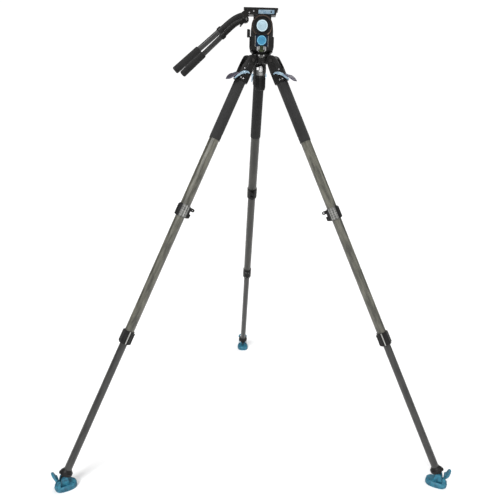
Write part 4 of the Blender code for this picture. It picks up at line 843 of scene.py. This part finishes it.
def make_level_trim():
    """The level's cheek pieces, the bubble's ring, and the index marks on the fixed base."""
    low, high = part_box("bubble_level")
    middle = (low + high) / 2
    place = Matrix.Translation((middle.x, 0.0, middle.z))
    light = bmesh.new()
    for side in (-1, 1):
        for inner, outer, foot, head in LEVEL_CHEEKS:
            x0, x1 = sorted((side * inner, side * outer))
            block(light, (x0, low.y - 0.0008, foot), (x1, high.y + 0.0004, head), 0.0006)
    attach("level_cheeks", light, SILVER, "pan_housing", place)
    marks = bmesh.new()
    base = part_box("half_ball")[0].y
    for x in BASE_MARKS:
        corners = ((x, base - 0.0004, -0.0105), (x + BASE_MARK_WIDTH, base + 0.0030, -0.0045))
        block(marks, *corners, 0.0005)
    attach("base_marks", marks, STRIP, "ball", place)
    ring = bmesh.new()
    aim = facing((0.0, -1.0, 0.0), (0.0, low.y, 0.0))
    profile = [(0.0028, -0.0002), (0.0036, -0.0002), (0.0036, 0.0004), (0.0028, 0.0004)]
    turned(ring, profile, aim, 28, True)
    attach("bubble_ring", ring, MOULDED, "pan_housing", place)


def make_knob_skirt():
    """The skirt that joins the counterbalance knob to the housing."""
    low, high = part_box("counterbalance_knob")
    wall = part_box("head_body")[0].x
    middle = (low + high) / 2
    radius = (high.z - low.z) / 2
    bm = bmesh.new()
    knob_end = high.x - 0.0010
    wall_end = wall - 0.0004
    profile = [(0.0050, knob_end), (radius - 0.0030, knob_end), (radius - 0.0022, high.x + 0.0020)]
    profile += [(radius - 0.0044, wall_end), (0.0050, wall_end)]
    place = facing((1.0, 0.0, 0.0), (0.0, middle.y, middle.z))
    turned(bm, profile, place, 32, True)
    attach("knob_skirt", bm, MOULDED, "balance_knob", Matrix.Identity(4))


PEG_LEAN = math.radians(231)
PEG_PROFILE = ((0.0034, 0.0050), (0.0028, 0.0170), (0.0031, 0.0215), (0.0026, 0.0250), (0.0012, 0.0262))


def make_peg():
    """The tapered peg of the handle clamp's lever."""
    hub = Vector(JOINTS["handle_clamp_turn"]["pos_m"])
    bm = bmesh.new()
    place = facing((math.cos(PEG_LEAN), 0.0, math.sin(PEG_LEAN)), (0.0, 0.0, 0.0))
    turned(bm, PEG_PROFILE, place, 20)
    attach("clamp_peg", bm, MOULDED, "handle_lever", Matrix.Translation(hub))


CROWN_WALL = 0.0402               # radius of the bowl's outer wall
CROWN_SCREWS = (233.0, 258.0, 284.0, 321.0, 33.0)
CROWN_RIBS = (262.0, 270.0, 278.0)
RIB_PROFILE = ((0.0011, 0.0), (0.0011, 0.0090), (0.0006, 0.0096))


def make_crown_screws():
    """Clamp screws round the bowl's rim, and the ribs under it."""
    bm = bmesh.new()
    ribs = bmesh.new()
    for turn in CROWN_SCREWS:
        a = math.radians(turn)
        out = Vector((math.cos(a), math.sin(a), 0.0))
        spot = out * CROWN_WALL + Vector((0.0, 0.0, -0.0092))
        button(bm, facing(out, spot), 0.0030, 0.0024)
    for turn in CROWN_RIBS:
        foot = Matrix.Rotation(math.radians(turn), 4, "Z") @ Matrix.Translation((CROWN_WALL, 0.0, -0.0175))
        turned(ribs, RIB_PROFILE, foot, 12)
    place = Matrix.Translation(BALL)
    attach("crown_screws", bm, SILVER, "base", place)
    attach("crown_ribs", ribs, STRIP, "base", place)


RECEIVER_NEAR = 0.0260            # the receiver's near side from the tilt axis's middle
RECEIVER_SCREWS = ((-0.0334, 0.0045), (-0.0500, 0.0100))


def make_receiver_details():
    """The receiver's screws, and a rib in line with its clamp lever."""
    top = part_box("plate_receiver")[1].z
    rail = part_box("plate_clamp_lever")[0]
    near = TILT.y - RECEIVER_NEAR
    bm = bmesh.new()
    for x, drop in RECEIVER_SCREWS:
        button(bm, facing((0.0, -1.0, 0.0), (TILT.x + x, near + 0.0004, top - drop)), 0.0027, 0.0018)
    attach("receiver_screws", bm, SILVER, "tilt_unit", Matrix.Identity(4))
    bm = bmesh.new()
    corners = ((TILT.x - 0.0580, near - 0.0006, rail.z - 0.0016), (rail.x - 0.0030, near + 0.0010, rail.z))
    block(bm, *corners, 0.0004)
    attach("receiver_rib", bm, BLACK, "tilt_unit", Matrix.Identity(4))


make_tilt_bezel()
make_recess_trim()
make_level_trim()
make_knob_skirt()
make_peg()
make_crown_screws()
make_receiver_details()

# ---------------------------------------------------------------- studio


FLOOR_REACH = 30.0
SEEN_WHITE = 1.05                 # the backdrop's brightness to the camera
LIGHT_FRONT = 0.48                # the room's brightness in front of the object
LIGHT_BEHIND = 0.10
CAMERA_LENS = 38.55
CAMERA_TURN = (-0.301, 14.548, 1.709)         # yaw, downward pitch and roll, in degrees
CAMERA_PLACE = (-0.0092, -2.2170, 1.4164)     # from the pan axis, at the floor
# direction, strength and spread in degrees
SUNS = {
    "key": ((-0.40, -1.0, 0.95), 2.5, 26.0),
    "fill": ((0.95, -0.75, 0.65), 0.55, 50.0),
    "top": ((0.1, 0.2, 1.0), 1.2, 60.0),
    "back": ((0.3, 1.0, 0.8), 0.45, 50.0),
}


def make_floor():
    """A wide, flat, pale floor."""
    paint = Paint("floor", (0.92, 0.92, 0.92), 0.9, 0.0, Specular_IOR_Level=0.1)
    shade = paint.scaled(paint.noise(3.0), 0.0, 1.0, 0.3, 0.7)
    paint.set("Base Color", paint.mix(shade, (0.90, 0.90, 0.90), (0.93, 0.93, 0.93)))
    bm = bmesh.new()
    reach = FLOOR_REACH
    corners = ((-reach, -reach), (reach, -reach), (reach, reach), (-reach, reach))
    bm.faces.new([bm.verts.new((x, y, 0.0)) for x, y in corners])
    floor = mesh_object("floor", bm, paint.material)


def soft_sun(name, place, power, spread):
    """A broad, even light from a direction, so the floor stays one tone."""
    data = bpy.data.lights.new(name, "SUN")
    data.energy = power
    data.angle = math.radians(spread)
    lamp = bpy.data.objects.new(name, data)
    lamp.rotation_euler = Vector(place).to_track_quat("Z", "Y").to_euler()
    bpy.context.scene.collection.objects.link(lamp)


def make_world():
    """A white room that lights the object softly without greying its blacks."""
    world = bpy.data.worlds.new("studio")
    world.use_nodes = True
    tree = world.node_tree
    soft = tree.nodes["Background"]
    where = tree.nodes.new("ShaderNodeTexCoord")
    parts = tree.nodes.new("ShaderNodeSeparateXYZ")
    fade = tree.nodes.new("ShaderNodeMapRange")
    tree.links.new(where.outputs["Generated"], parts.inputs[0])
    tree.links.new(parts.outputs[1], fade.inputs["Value"])
    fade.inputs["From Min"].default_value = -0.6
    fade.inputs["From Max"].default_value = 0.5
    fade.inputs["To Min"].default_value = LIGHT_FRONT
    fade.inputs["To Max"].default_value = LIGHT_BEHIND
    tree.links.new(fade.outputs[0], soft.inputs["Strength"])
    soft.inputs["Color"].default_value = (1.0, 1.0, 1.0, 1.0)

    seen = tree.nodes.new("ShaderNodeBackground")
    seen.inputs["Color"].default_value = (1.0, 1.0, 1.0, 1.0)
    seen.inputs["Strength"].default_value = SEEN_WHITE
    path = tree.nodes.new("ShaderNodeLightPath")
    choose = tree.nodes.new("ShaderNodeMixShader")
    tree.links.new(path.outputs["Is Camera Ray"], choose.inputs[0])
    tree.links.new(soft.outputs[0], choose.inputs[1])
    tree.links.new(seen.outputs[0], choose.inputs[2])
    tree.links.new(choose.outputs[0], tree.nodes["World Output"].inputs[0])
    bpy.context.scene.world = world
    bpy.context.scene.view_settings.view_transform = "Standard"


def make_camera():
    """The camera, a step back on the side of the drag dials and a little below the head."""
    data = bpy.data.cameras.new("camera")
    data.lens = CAMERA_LENS
    data.sensor_width = 36.0
    camera = bpy.data.objects.new("camera", data)
    bpy.context.scene.collection.objects.link(camera)
    yaw, pitch, roll = (math.radians(angle) for angle in CAMERA_TURN)
    ahead = Vector((math.sin(yaw) * math.cos(pitch), math.cos(yaw) * math.cos(pitch), -math.sin(pitch)))
    right = Vector((math.cos(yaw), -math.sin(yaw), 0.0))
    up = right.cross(ahead)
    rolled = math.cos(roll) * right + math.sin(roll) * up
    top = -math.sin(roll) * right + math.cos(roll) * up
    place = Vector((AXIS.x, AXIS.y, 0.0)) + Vector(CAMERA_PLACE)
    camera.matrix_world = basis(rolled, top, -ahead, place)
    bpy.context.scene.camera = camera


make_floor()
make_camera()
make_world()
for name, (place, power, spread) in SUNS.items():
    soft_sun(name, place, power, spread)
